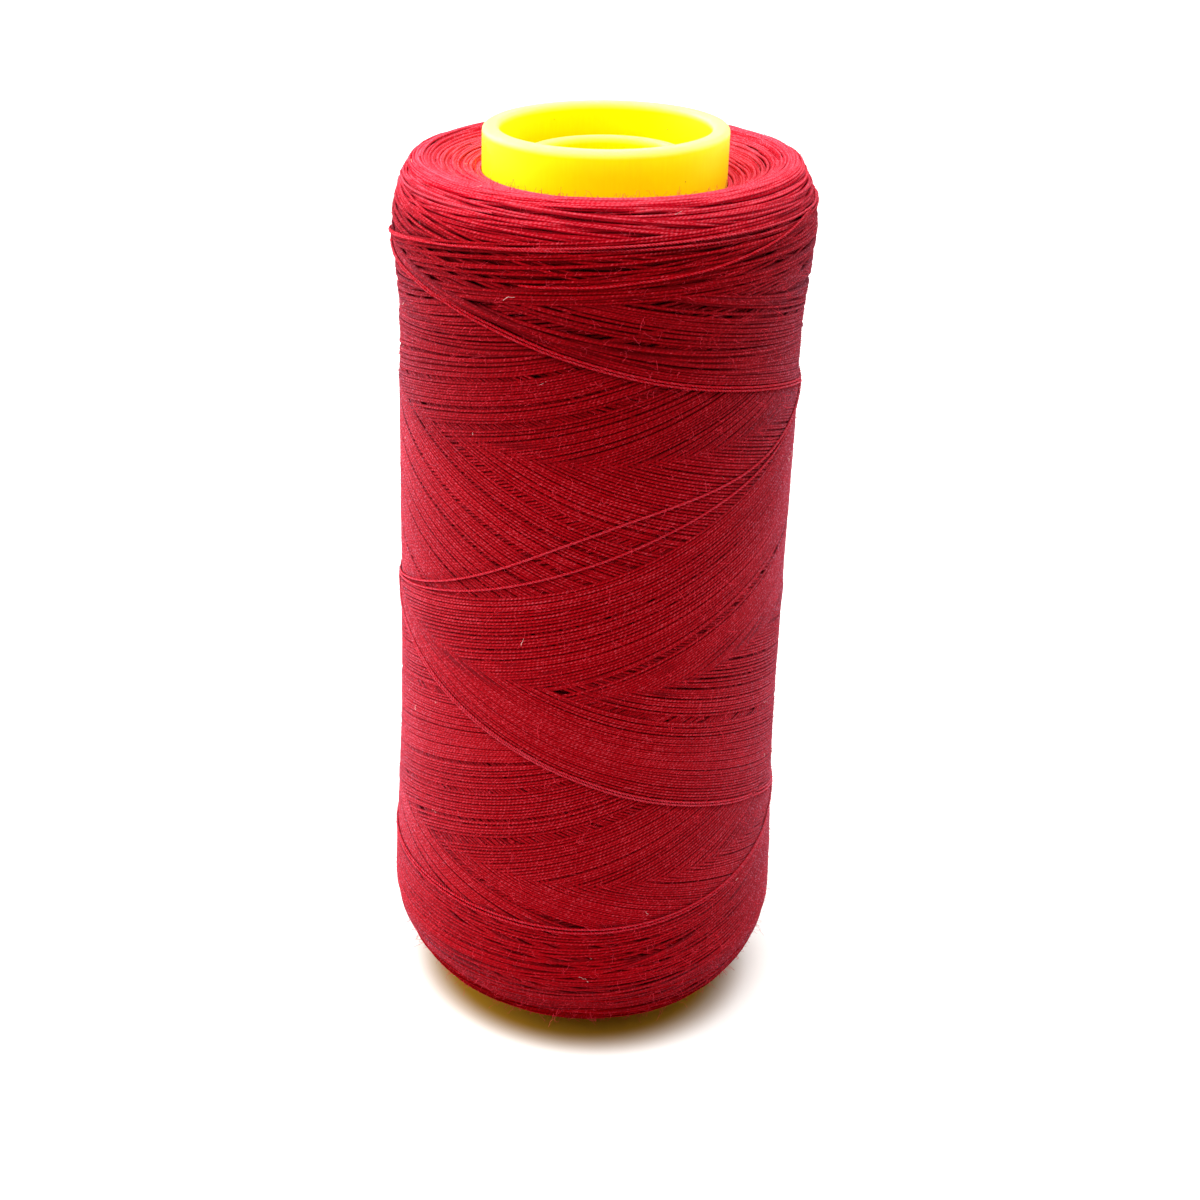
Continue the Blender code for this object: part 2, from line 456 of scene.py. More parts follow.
    def haze(self, shader: Shader, outward: Socket) -> Socket:
        """Return the bloom of fibres that stands off the package.

        Args:
            shader: The material's nodes.
            outward: The direction out of the whole package, which is the surface's normal.

        Returns:
            The surface.
        """
        values = {
            "Base Color": self.bloom_ground,
            "Specular IOR Level": 0.0,
            "Sheen Weight": 1.0,
            "Sheen Roughness": self.bloom_roughness,
            "Sheen Tint": self.bloom_tint,
            "Normal": outward,
        }
        return shader.principled(values)

    def material(self) -> bpy.types.Material:
        """Return the material, which follows the Strand map and the attributes of the piece."""
        shader = Shader.of_material(self.name)
        outward, upward, height = self.outward(shader)
        marks = self.marks(shader, upward, height)
        share = weighed(marks, self.bloom_weights).spread(0.0, 1.0, *self.bloom)
        # Painted shade: less bloom on downward faces and at the foot.
        share = share * upward.spread(*self.bloom_below) * (1.0 - marks["foot"] * self.bloom_foot)
        body, haze = self.body(shader, marks, outward), self.haze(shader, outward)
        return shader.finish(shader.mixed(share, body, haze))


@dataclass(frozen=True)
class FibreFinish:
    """Loose fibres that stand off the thread."""

    name: str
    colour: Colour
    dimming: float = 0.62
    patch_scale: float = 420.0
    roughness: float = 0.6

    def material(self) -> bpy.types.Material:
        """Return the material."""
        shader = Shader.of_material(self.name)
        patch = shader.noise(shader.places(), self.patch_scale, 2.0, 0.5)
        dim = tuple(self.dimming * part for part in self.colour)
        values = {
            "Base Color": shader.blend(patch.spread(0.35, 0.65), dim, self.colour),
            "Roughness": self.roughness,
            "Specular IOR Level": 0.1,
        }
        return shader.finish(shader.principled(values))


@dataclass(frozen=True)
class PlasticFinish:
    """Bright moulded plastic, slightly cloudy, with faint drag marks, a painted highlight along the rim and
    specks of dirt.
    """

    name: str
    rim: float
    colour: Colour = (1.0, 0.90, 0.0)
    shade: Colour = (0.98, 0.76, 0.0)
    # Painted highlight: the pale colour along the top of the rim.
    painted_rim_highlight: Colour = (1.0, 0.96, 0.24)
    dirt: Colour = (0.30, 0.17, 0.01)
    cloud_scale: float = 130.0
    drag_scale: float = 2600.0
    drag_stretch: tuple[float, float, float] = (1.0, 1.0, 0.10)
    grain_scale: float = 5200.0
    dirt_scale: float = 1300.0
    dirt_range: tuple[float, float, float, float] = (0.765, 0.80, 0.0, 0.8)
    cloud_share: float = 0.6
    drag_share: float = 0.5
    mottle_start: float = -0.1
    rim_highlight_below_top: Point = (0.0011, 0.0002)
    roughness: float = 0.42
    glow: float = 0.5
    glow_colour: Colour = (1.0, 0.8, 0.05)
    glow_depth: float = 0.004
    relief: float = 0.00005
    relief_strength: float = 0.10

    def material(self) -> bpy.types.Material:
        """Return the material."""
        shader = Shader.of_material(self.name)
        places = shader.places()
        height = shader.split(places)[2]
        cloud = shader.noise(places, self.cloud_scale)
        drag = shader.noise(shader.stretched(places, self.drag_stretch), self.drag_scale, 4.0, 0.6)
        grain = shader.noise(places, self.grain_scale, 2.0)
        dirt = shader.noise(places, self.dirt_scale, 2.0, 0.4).spread(*self.dirt_range)
        start, end = (self.rim - below for below in self.rim_highlight_below_top)
        mottle = cloud * self.cloud_share + drag * self.drag_share + self.mottle_start
        colour = shader.blend(mottle.limited(), self.colour, self.shade)
        # Painted highlight: the last millimetre below the rim grows pale.
        colour = shader.blend(height.spread(start, end), colour, self.painted_rim_highlight)
        values = {
            "Base Color": shader.blend(dirt, colour, self.dirt),
            "Roughness": self.roughness,
            "Specular IOR Level": 0.10,
            "Subsurface Weight": self.glow,
            "Subsurface Radius": self.glow_colour,
            "Subsurface Scale": self.glow_depth,
            "Normal": shader.bump(drag * 0.7 + grain * 0.3, self.relief_strength, self.relief),
        }
        return shader.finish(shader.principled(values))


@dataclass(frozen=True)
class DeepFinish:
    """The deeper layers of thread, seen only through gaps between the strands above them."""

    name: str = "deep_layers"
    colour: Colour = (0.46, 0.0, 0.006)
    dimming: float = 0.5
    ridge_scale: float = 2400.0
    relief: float = 0.0001
    roughness: float = 0.9

    def material(self) -> bpy.types.Material:
        """Return the material."""
        shader = Shader.of_material(self.name)
        ridges = shader.noise(shader.places(), self.ridge_scale, 3.0, 0.6)
        dim = tuple(self.dimming * part for part in self.colour)
        values = {
            "Base Color": shader.blend(ridges.spread(0.3, 0.7), dim, self.colour),
            "Roughness": self.roughness,
            "Specular IOR Level": 0.1,
            "Normal": shader.bump(ridges, 0.5, self.relief),
        }
        return shader.finish(shader.principled(values))


# ---------------------------------------------------------------------------------------------------
# Small tools


def from_bmesh(name: str, shape: bmesh.types.BMesh, material: bpy.types.Material) -> bpy.types.Object:
    """Turn a bmesh into a smooth-shaded piece.

    Args:
        name: The piece's name.
        shape: The bmesh, which is freed.
        material: The piece's material.

    Returns:
        The piece.
    """
    mesh = bpy.data.meshes.new(name)
    shape.to_mesh(mesh)
    shape.free()
    return from_mesh(name, mesh, material)


def from_mesh(name: str, mesh: bpy.types.Mesh, material: bpy.types.Material) -> bpy.types.Object:
    """Turn a mesh into a smooth-shaded piece.

    Args:
        name: The piece's name.
        mesh: The mesh.
        material: The piece's material.

    Returns:
        The piece.
    """
    mesh.materials.clear()
    mesh.materials.append(material)
    mesh.shade_smooth()
    piece = bpy.data.objects.new(name, mesh)
    bpy.context.scene.collection.objects.link(piece)
    return piece


def turned(profile: Sequence[Point], steps: int, merge: float = 0.000002) -> bmesh.types.BMesh:
    """Turn a closed outline once round the Z axis.

    Args:
        profile: Points of radius and height, in metres.
        steps: The number of steps round the axis.
        merge: How far apart two corners may be and still be merged.

    Returns:
        The turned shape, whose faces point outwards.
    """
    shape = bmesh.new()
    corners = [shape.verts.new((radius, 0.0, height)) for radius, height in profile]
    for first, second in zip(corners, corners[1:] + corners[:1]):
        shape.edges.new((first, second))
    bmesh.ops.spin(
        shape,
        geom=shape.verts[:] + shape.edges[:],
        cent=(0.0, 0.0, 0.0),
        axis=(0.0, 0.0, 1.0),
        angle=math.tau,
        steps=steps,
        use_merge=True,
        use_duplicate=False,
    )
    bmesh.ops.remove_doubles(shape, verts=shape.verts, dist=merge)
    bmesh.ops.recalc_face_normals(shape, faces=shape.faces)
    return shape


def rounded(corner: Point, radius: float, start: float, steps: int = 5) -> list[Point]:
    """Return a quarter round about a point, turning clockwise from an angle in degrees."""
    angles = [math.radians(start - 90.0 * step / steps) for step in range(steps + 1)]
    return [(corner[0] + radius * math.cos(a), corner[1] + radius * math.sin(a)) for a in angles]


def soft_low(first: np.ndarray, second: np.ndarray, width: float) -> np.ndarray:
    """Return the lower of two curves, with a rounded join."""
    share = np.clip(0.5 + 0.5 * (second - first) / width, 0.0, 1.0)
    return second * (1.0 - share) + first * share - width * share * (1.0 - share)


def soft_high(first: np.ndarray, second: np.ndarray, width: float) -> np.ndarray:
    """Return the higher of two curves, with a rounded join."""
    return -soft_low(-first, -second, width)


def ramp(value: np.ndarray, width: float) -> np.ndarray:
    """Return a value's share of a width, kept between 0 and 1."""
    return np.clip(value / width, 0.0, 1.0)


def eased(part: np.ndarray) -> np.ndarray:
    """Return a value between 0 and 1 with its start and end slowed down."""
    return part * part * (3.0 - 2.0 * part)


def hump(place: np.ndarray, middle: float, width: float) -> np.ndarray:
    """Return a bell of height 1 about a middle."""
    return np.exp(-(((place - middle) / width) ** 2))


def sweep(cycle: float) -> float:
    """Return a value that goes from 0 to 1 and back over each whole cycle."""
    part = cycle % 1.0
    return 2.0 * min(part, 1.0 - part)


def outward(points: np.ndarray) -> np.ndarray:
    """Return the directions that point out of the whole package.

    Args:
        points: Places in metres.

    Returns:
        A unit vector for each place, away from a thick core inside the package.
    """
    flat = np.hypot(points[:, 0], points[:, 1])
    share = np.maximum(flat - CORE_REACH, 0.0) / np.maximum(flat, 1.0e-6)
    above = points[:, 2] - np.clip(points[:, 2], CORE_LOW, CORE_HIGH)
    line = np.stack([points[:, 0] * share, points[:, 1] * share, above], axis=-1)
    return line / np.maximum(np.linalg.norm(line, axis=1, keepdims=True), 1.0e-9)


def lengths_along(points: np.ndarray) -> np.ndarray:
    """Return how far along a line each of its points lies."""
    return np.concatenate([[0.0], np.cumsum(np.linalg.norm(np.diff(points, axis=0), axis=1))])


# ---------------------------------------------------------------------------------------------------
# The package's outside, as a line from the lower end face to the upper one


class Outside:
    """The outline of the wound package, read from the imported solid.

    Places on it are lengths in millimetres, equal to the height over the straight middle of the spool
    and running on round both shoulders and across the end faces to the tube.
    """

    fine_step: ClassVar[float] = 0.1
    rounding: ClassVar[int] = 11
    mouth_width: ClassVar[float] = 1.0
    same_height: ClassVar[float] = 0.002

    def __init__(self, node: bpy.types.Object) -> None:
        """Read the outline.

        Args:
            node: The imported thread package.
        """
        corners = np.empty(len(node.data.vertices) * 3)
        node.data.vertices.foreach_get("co", corners)
        corners = corners.reshape(-1, 3) / MM
        radius = np.hypot(corners[:, 0], corners[:, 1])
        bore = radius.min()
        outer = radius > bore + self.mouth_width
        heights = np.unique(np.round(corners[outer, 2], 3))
        levels = [outer & (np.abs(corners[:, 2] - height) < self.same_height) for height in heights]
        reach = [radius[level].max() for level in levels]
        mouth = np.sort(corners[~outer, 2])
        self.radius = np.concatenate([[bore], reach, [bore]])
        self.height = np.concatenate([[mouth[0]], heights, [mouth[-1]]])
        steps = np.hypot(np.diff(self.radius), np.diff(self.height))
        length = np.concatenate([[0.0], np.cumsum(steps)])
        middle = 0.5 * (heights[0] + heights[-1])
        self.length = length - np.interp(middle, self.height[1:-1], length[1:-1]) + middle
        self._smooth()

    def _smooth(self) -> None:
        """Resample the outline finely and round its corners."""
        fine = np.arange(self.length[0], self.length[-1], self.fine_step)
        kernel = np.ones(self.rounding) / self.rounding
        edge = self.rounding // 2
        radius = np.interp(fine, self.length, self.radius)
        height = np.interp(fine, self.length, self.height)
        radius[edge:-edge] = np.convolve(radius, kernel, "valid")
        height[edge:-edge] = np.convolve(height, kernel, "valid")
        self.length, self.radius, self.height = fine, radius, height
        slope_r, slope_h = np.gradient(radius), np.gradient(height)
        size = np.hypot(slope_r, slope_h)
        self.out_r, self.out_h = slope_h / size, -slope_r / size

    def at(self, place: np.ndarray, lift: np.ndarray) -> tuple[np.ndarray, np.ndarray]:
        """Return places in space.

        Args:
            place: Places on the outline.
            lift: How far each is raised off it.

        Returns:
            Radius and height, in millimetres.
        """
        radius = np.interp(place, self.length, self.radius)
        height = np.interp(place, self.length, self.height)
        out_r = np.interp(place, self.length, self.out_r)
        out_h = np.interp(place, self.length, self.out_h)
        return radius + out_r * lift, height + out_h * lift


# ---------------------------------------------------------------------------------------------------
# Winding


@dataclass
class Run:
    """One laid length of thread: where it goes round, where it lies on the outline, and its lift."""

    turn: np.ndarray
    place: np.ndarray
    lift: np.ndarray
    kind: Kind
    shown: np.ndarray = field(default_factory=lambda: np.zeros(0, bool))


@dataclass(frozen=True)
class TurnBack:
    """Where the strokes turn back at one end, the newest strokes by one rule and the older ones by another.

    A stroke's age is how many came after it. Places are in millimetres, and cycles in strokes. Where the
    newest strokes have no scatter, they take no random number.
    """

    newest: int
    place: float
    drift: float
    swing: float
    swing_rate: float
    swing_start: float
    scatter: float
    old_place: float
    old_range: float
    old_cycle: float
    old_start: float
    old_scatter: float

    def of(self, age: int, random: np.random.Generator) -> float:
        """Return the place where a stroke turns back.

        Args:
            age: The stroke's age.
            random: The winder's random numbers.

        Returns:
            The place on the outline.
        """
        if age >= self.newest:
            swept_part = self.old_range * sweep(age / self.old_cycle + self.old_start)
            return self.old_place + swept_part + random.normal(0.0, self.old_scatter)
        swing = self.swing * math.sin(age * self.swing_rate + self.swing_start)
        scatter = random.normal(0.0, self.scatter) if self.scatter else 0.0
        return self.place + self.drift * age + swing + scatter


@dataclass
class Winder:
    """Lays thread as a winding machine does, each new length resting on what is already there.

    The guide travels to and fro and dwells for a turn at the upper end. Each double stroke starts a little
    further back round the spool, so the strands build up bands that rise and bands that fall, which cross
    in level zigzag lines. Lengths are in millimetres and angles in degrees.

    Each gap has how far back it lies and how wide it is, each drift a place and how far strands are shifted
    there, each slack stroke the rise, middle and width of its hump, and each corner of the free end an angle
    and a place. The late level turns are laid among the last strokes.
    """

    contact_radius: float = 0.095
    strand_radius: float = 0.232
    spacing: float = 0.43
    spacing_spread: float = 0.08
    pitch: float = 60.7
    rising_edge: float = 79.9
    falling_edge: float = 48.6
    rounds: float = 1.9
    lead_in: float = 300.0
    turns_per_stroke: int = 4
    dwell: float = 360.0
    lean: float = 4.0
    lean_width: float = 64.0
    lean_above: Point = (17.0, 19.0)
    lean_below: Point = (119.0, 15.0)
    skew: float = 1.55
    skew_middle: float = 14.6
    skew_width: float = 8.8
    crest_rounding: float = 21.0
    join_rounding: float = 14.0
    floor_rounding: float = 7.0
    crest_wave: Point = (420.0, 0.45)
    fine_waves: tuple[Point, ...] = ((60.0, 0.02), (300.0, 0.06))
    crest: TurnBack = TurnBack(
        newest=34, place=123.6, drift=0.0, swing=3.4, swing_rate=0.23, swing_start=0.9, scatter=0.35,
        old_place=118.5, old_range=13.0, old_cycle=37.0, old_start=0.62, old_scatter=0.5,
    )
    floor: TurnBack = TurnBack(
        newest=9, place=25.6, drift=-0.92, swing=0.25, swing_rate=2.1, swing_start=0.0, scatter=0.0,
        old_place=3.0, old_range=15.0, old_cycle=47.0, old_start=0.2, old_scatter=0.4,
    )
    gaps: tuple[Point, ...] = (
        (14.1, 0.95), (20.4, 0.28), (26.3, 0.50), (30.4, 0.50), (34.8, 0.32), (37.3, 1.1),
    )
    drift: tuple[Point, ...] = (
        (0.0, 0.0), (20.0, 0.0), (33.0, -2.3), (49.0, 0.0), (80.0, 0.0), (95.0, 1.7), (109.0, 0.6),
        (120.0, 0.0), (150.0, 0.0),
    )
    loose_rises: tuple[tuple[float, float, float], ...] = ((6.6, 365.0, 42.0), (2.9, 370.0, 45.0))
    free_end: tuple[Point, ...] = (
        (-24.0, 120.2), (0.0, 120.9), (30.0, 122.6), (67.0, 126.0), (120.0, 128.0), (330.0, 129.0),
    )
    end_turns: int = 420
    end_rounds: Point = (0.7, 1.6)
    end_wave: Point = (150.0, 0.14)
    end_slant: float = 0.6
    lower_end: Point = (-7.0, 24.0)
    upper_end: Point = (112.0, 144.0)
    late_ages: range = range(11, 160)
    late_lower_end: Point = (-4.0, 20.0)
    late_upper_end: Point = (123.0, 143.0)
    end_margin: float = 2.0
    choices: int = 4
    angle_step: float = 0.5
    grid_step: float = 0.05
    lowest: float = -9.0
    highest: float = 146.0
    body_radius: float = 28.0
    bow: float = 0.45
    path_stretch: float = 1.04
    shown_margin: int = 9
    seed: int = 7

    def __post_init__(self) -> None:
        """Start with a bare surface."""
        self.random = np.random.default_rng(self.seed)
        self.columns = int(360.0 / self.angle_step)
        self.rows = int((self.highest - self.lowest) / self.grid_step)
        self.surface = np.zeros((self.columns, self.rows), np.float32)
        self.rate = self.pitch / 360.0
        self.runs: list[Run] = []

    def column_of(self, turn: np.ndarray) -> np.ndarray:
        """Return the grid columns of some angles."""
        return np.round(np.mod(turn, 360.0) / self.angle_step).astype(int) % self.columns

    def wander(self, count: int, length: float, size: float) -> np.ndarray:
        """Return a smooth random line.

        Args:
            count: The number of samples.
            length: The length of a wave, in samples.
            size: How far the line strays.

        Returns:
            The line's samples.
        """
        knots = self.random.normal(0.0, size, max(2, int(count / length) + 3))
        place = np.linspace(0.0, len(knots) - 1.001, count)
        index = place.astype(int)
        part = eased(place - index)
        return knots[index] * (1.0 - part) + knots[np.minimum(index + 1, len(knots) - 1)] * part

    def pulled_tight(self, support: np.ndarray) -> np.ndarray:
        """Return the lift of a thread pulled tight over its supports, which bridges the dips.

        Args:
            support: The height of what lies under each sample.

        Returns:
            The lift of the thread's middle at each sample.
        """
        along = np.arange(len(support)) * math.radians(self.angle_step) * self.body_radius * self.path_stretch
        bow = self.bow / self.body_radius * along**2
        level = (support - bow).tolist()
        place = along.tolist()
        held = [0]
        for here in range(1, len(level)):
            while len(held) > 1:
                back, last = held[-2], held[-1]
                rise = (level[last] - level[back]) * (place[here] - place[back])
                if rise > (level[here] - level[back]) * (place[last] - place[back]):
                    break
                held.pop()
            held.append(here)
        return np.interp(along, along[held], np.array(level)[held]) + bow

    def cells(self, run: Run, radius: float) -> tuple[np.ndarray, np.ndarray, np.ndarray, np.ndarray]:
        """Return the grid cells near a run.

        Args:
            run: The laid thread.
            radius: The thread's radius.

        Returns:
            For each sample and each cell across it: the column, the row, how far the strand bulges up over
            the cell, and whether the strand reaches it.
        """
        cell = (run.place - self.lowest) / self.grid_step
        reach = int(math.ceil(radius / self.grid_step))
        rows = np.clip(np.floor(cell).astype(int)[:, None] + np.arange(-reach, reach + 1), 0, self.rows - 1)
        aside = (rows + 0.5 - cell[:, None]) * self.grid_step
        bulge = np.sqrt(np.maximum(radius**2 - aside**2, 0.0))
        columns = np.broadcast_to(self.column_of(run.turn)[:, None], rows.shape)
        return columns, rows, bulge, np.abs(aside) < radius

    def lay(self, turn: np.ndarray, place: np.ndarray, kind: Kind) -> None:
        """Lay one length of thread on the surface and keep it as a run.

        Args:
            turn: The angle round the spool of each sample.
            place: Its place on the outline.
            kind: The kind of laid thread.
        """
        run = Run(turn, place, np.zeros(len(turn)), kind)
        columns, rows, bulge, under = self.cells(run, self.contact_radius)
        below = self.surface[columns, rows]
        run.lift = self.pulled_tight(np.where(under, below + bulge, NOWHERE).max(axis=1))
        new = run.lift[:, None] + bulge
        topmost = under & (new > below)
        self.surface[columns[topmost], rows[topmost]] = new[topmost]
        self.runs.append(run)

    def lay_level_turn(self, ends: Point, kind: Kind) -> None:
        """Lay one nearly level turn, in the lowest of a few spots.

        Args:
            ends: The places on the outline between which it lies.
            kind: The kind of laid thread.
        """
        count = int(360.0 * self.random.uniform(*self.end_rounds) / self.angle_step)
        turn = (self.random.integers(0, self.columns) + np.arange(count)) * self.angle_step
        wave = self.wander(count, *self.end_wave)
        shape = wave + np.linspace(0.0, self.random.normal(0.0, self.end_slant), count)
        column = self.column_of(turn)
        best, least = shape, math.inf
        for start in self.random.uniform(*ends, self.choices):
            place = np.clip(start + shape, self.lowest + self.end_margin, self.highest - self.end_margin)
            height = float(self.surface[column, ((place - self.lowest) / self.grid_step).astype(int)].mean())
            if height < least:
                best, least = place, height
        self.lay(turn, best, kind)

    def strand_offsets(self) -> list[float]:
        """Return how far each double stroke lies behind the last one, from the newest to the oldest."""
        offsets = [0.0]
        gaps = list(self.gaps)
        while offsets[-1] < self.pitch * self.rounds:
            step = self.spacing * (1.0 + self.random.normal(0.0, self.spacing_spread))
            if gaps and offsets[-1] + step > gaps[0][0]:
                step += gaps.pop(0)[1]
            offsets.append(offsets[-1] + step)
        return offsets

    def zigzag(self, age: int, offset: float, turn: np.ndarray) -> np.ndarray:
        """Return the places of one double stroke before it leans and drifts.

        Args:
            age: The stroke's age.
            offset: How far it lies behind the last one.
            turn: The angle of each sample, counted from the stroke's own start.

        Returns:
            The places on the outline.
        """
        whole = self.turns_per_stroke * 360.0 + self.dwell
        skew = self.skew * math.exp(-(((offset - self.skew_middle) / self.skew_width) ** 4))
        rising = self.rising_edge - self.pitch + self.rate * turn - skew
        falling = self.falling_edge + self.rate * (whole - 360.0 - turn) - skew
        before = self.falling_edge + self.rate * (-360.0 - turn)
        after = self.rising_edge - self.pitch + self.rate * (turn - whole)
        crest = self.crest.of(age, self.random) + self.wander(len(turn), *self.crest_wave)
        place = soft_low(soft_low(rising, crest, self.crest_rounding), falling, self.crest_rounding)
        place = soft_high(soft_high(place, before, self.join_rounding), after, self.join_rounding)
        return soft_high(place, np.full_like(place, self.floor.of(age, self.random)), self.floor_rounding)

    def stroke(self, age: int, offset: float) -> tuple[np.ndarray, np.ndarray]:
        """Return the path of one double stroke, up the spool and down again.

        Args:
            age: The stroke's age.
            offset: How far it lies behind the last one.

        Returns:
            The angle round the spool and the place on the outline, at each sample.
        """
        whole = self.turns_per_stroke * 360.0 + self.dwell
        turn = np.arange(-self.lead_in, whole - self.lead_in, self.angle_step)
        place = self.zigzag(age, offset, turn)
        turn = turn + offset / self.rate
        (low, low_width), (high, high_width) = self.lean_above, self.lean_below
        inner = ramp(place - low, low_width) * ramp(high - place, high_width)
        heights, shifts = np.array(self.drift).T
        place = place + np.interp(place, heights, shifts)
        front = np.mod(turn + 180.0, 360.0) - 180.0
        place = place + self.lean * inner * (1.0 - hump(front, 0.0, self.lean_width))
        if age < len(self.loose_rises):
            rise, middle, width = self.loose_rises[age]
            place = place + rise * hump(turn, middle, width)
        for length, size in self.fine_waves:
            place = place + self.wander(len(place), length, size)
        return turn, place

    def lay_free_end(self) -> None:
        """Lay the free end of the thread, which slants up over the upper shoulder and round the back."""
        turn = np.arange(self.free_end[0][0], self.free_end[-1][0], self.angle_step)
        self.lay(turn, np.interp(turn, *np.array(self.free_end).T), Kind.FREE_END)

    def wind(self) -> None:
        """Lay every turn of the outer layers, the oldest first."""
        for _ in range(self.end_turns):
            self.lay_level_turn(self.lower_end, Kind.LOWER_END)
            self.lay_level_turn(self.upper_end, Kind.UPPER_END)
        offsets = self.strand_offsets()
        for age in reversed(range(len(offsets))):
            turn, place = self.stroke(age, offsets[age])
            half = len(turn) // 2 + 1
            kind = Kind.LOOSE if age < len(self.loose_rises) else Kind.BAND
            self.lay(turn[:half], place[:half], kind)
            self.lay(turn[half:], place[half:], kind)
            if age in self.late_ages:
                self.lay_level_turn(self.late_lower_end, Kind.LOWER_END)
                self.lay_level_turn(self.late_upper_end, Kind.UPPER_END)
        self.lay_free_end()
        self.mark_shown()

    def mark_shown(self) -> None:
        """Mark the samples of each run that can be seen from outside, and a few on either side of them."""
        top = np.full((self.columns, self.rows), NOWHERE, np.float32)
        owner = np.full((self.columns, self.rows), -1, np.int32)
        for index, run in enumerate(self.runs):
            columns, rows, bulge, under = self.cells(run, self.strand_radius)
            height = run.lift[:, None] + bulge
            higher = under & (height > top[columns, rows])
            top[columns[higher], rows[higher]] = height[higher]
            owner[columns[higher], rows[higher]] = index
        for index, run in enumerate(self.runs):
            columns, rows, _, under = self.cells(run, self.strand_radius)
            seen = ((owner[columns, rows] == index) & under).any(axis=1)
            run.shown = np.convolve(seen.astype(float), np.ones(self.shown_margin), "same") > 0.0

    def envelope(self, width: float = 0.35) -> np.ndarray:
        """Return the height of the highest strands near each cell, on the same grid.

        Args:
            width: How far up and down the package they are looked for.

        Returns:
            The heights.
        """
        reach = int(width / self.grid_step)
        padded = np.pad(self.surface, ((0, 0), (reach, reach)), mode="edge")
        highest = self.surface.copy()
        for shift in range(0, 2 * reach + 1, 2):
            np.maximum(highest, padded[:, shift : shift + self.rows], out=highest)
        return highest

    def broad_lift(self, width: float = 0.6, round_width: float = 50.0) -> np.ndarray:
        """Return the laid surface with its fine relief smoothed away, on the same grid.

        Args:
            width: The length up the package that is smoothed into one sample.
            round_width: The number of waves round the package past which relief fades.

        Returns:
            The heights.
        """
        step = int(width / self.grid_step)
        rows = self.rows // step
        coarse = self.surface[:, : rows * step].reshape(self.columns, rows, step).mean(axis=2)
        fade = np.exp(-0.5 * (np.fft.fftfreq(self.columns) * self.columns / round_width) ** 2)
        coarse = np.fft.ifft(np.fft.fft(coarse, axis=0) * fade[:, None], axis=0).real
        kernel = np.array([1.0, 2.0, 3.0, 2.0, 1.0]) / 9.0
        padded = np.pad(coarse, ((0, 0), (2, 2)), mode="edge")
        smooth = sum(weight * padded[:, shift : shift + rows] for shift, weight in enumerate(kernel))
        places = (np.arange(rows) + 0.5) * step - 0.5
        wanted = np.arange(self.rows)
        return np.stack([np.interp(wanted, places, line) for line in smooth]).astype(np.float32)


# ---------------------------------------------------------------------------------------------------
# Pieces of thread


@dataclass
class Line:
    """The middle line of a strand or fibre: its points in metres, its tint, and how much painted shade it
    takes for lying deep.
    """

    points: np.ndarray
    tint: float
    depth: np.ndarray


@dataclass(frozen=True)
class Lie:
    """How one kind of laid thread lies in the surface.

    The dip is how much of the depth of low strands is kept, proud is how much further out a slack strand
    stands, the shade is how much painted shade darkens strands as they lie deeper, and the girth is the share
    of the full radius that the strand has.
    """

    dip: float = 0.4
    proud: float = 0.0
    shade: float = 0.3
    girth: float = 0.88


LIES = {
    Kind.LOWER_END: Lie(),
    Kind.UPPER_END: Lie(),
    Kind.BAND: Lie(dip=1.5, shade=1.0, girth=1.0),
    Kind.LOOSE: Lie(dip=1.0, proud=0.20),
    Kind.FREE_END: Lie(dip=1.0, proud=0.16),
}
FIBRE_LIE = Lie(dip=0.6, shade=0.5)


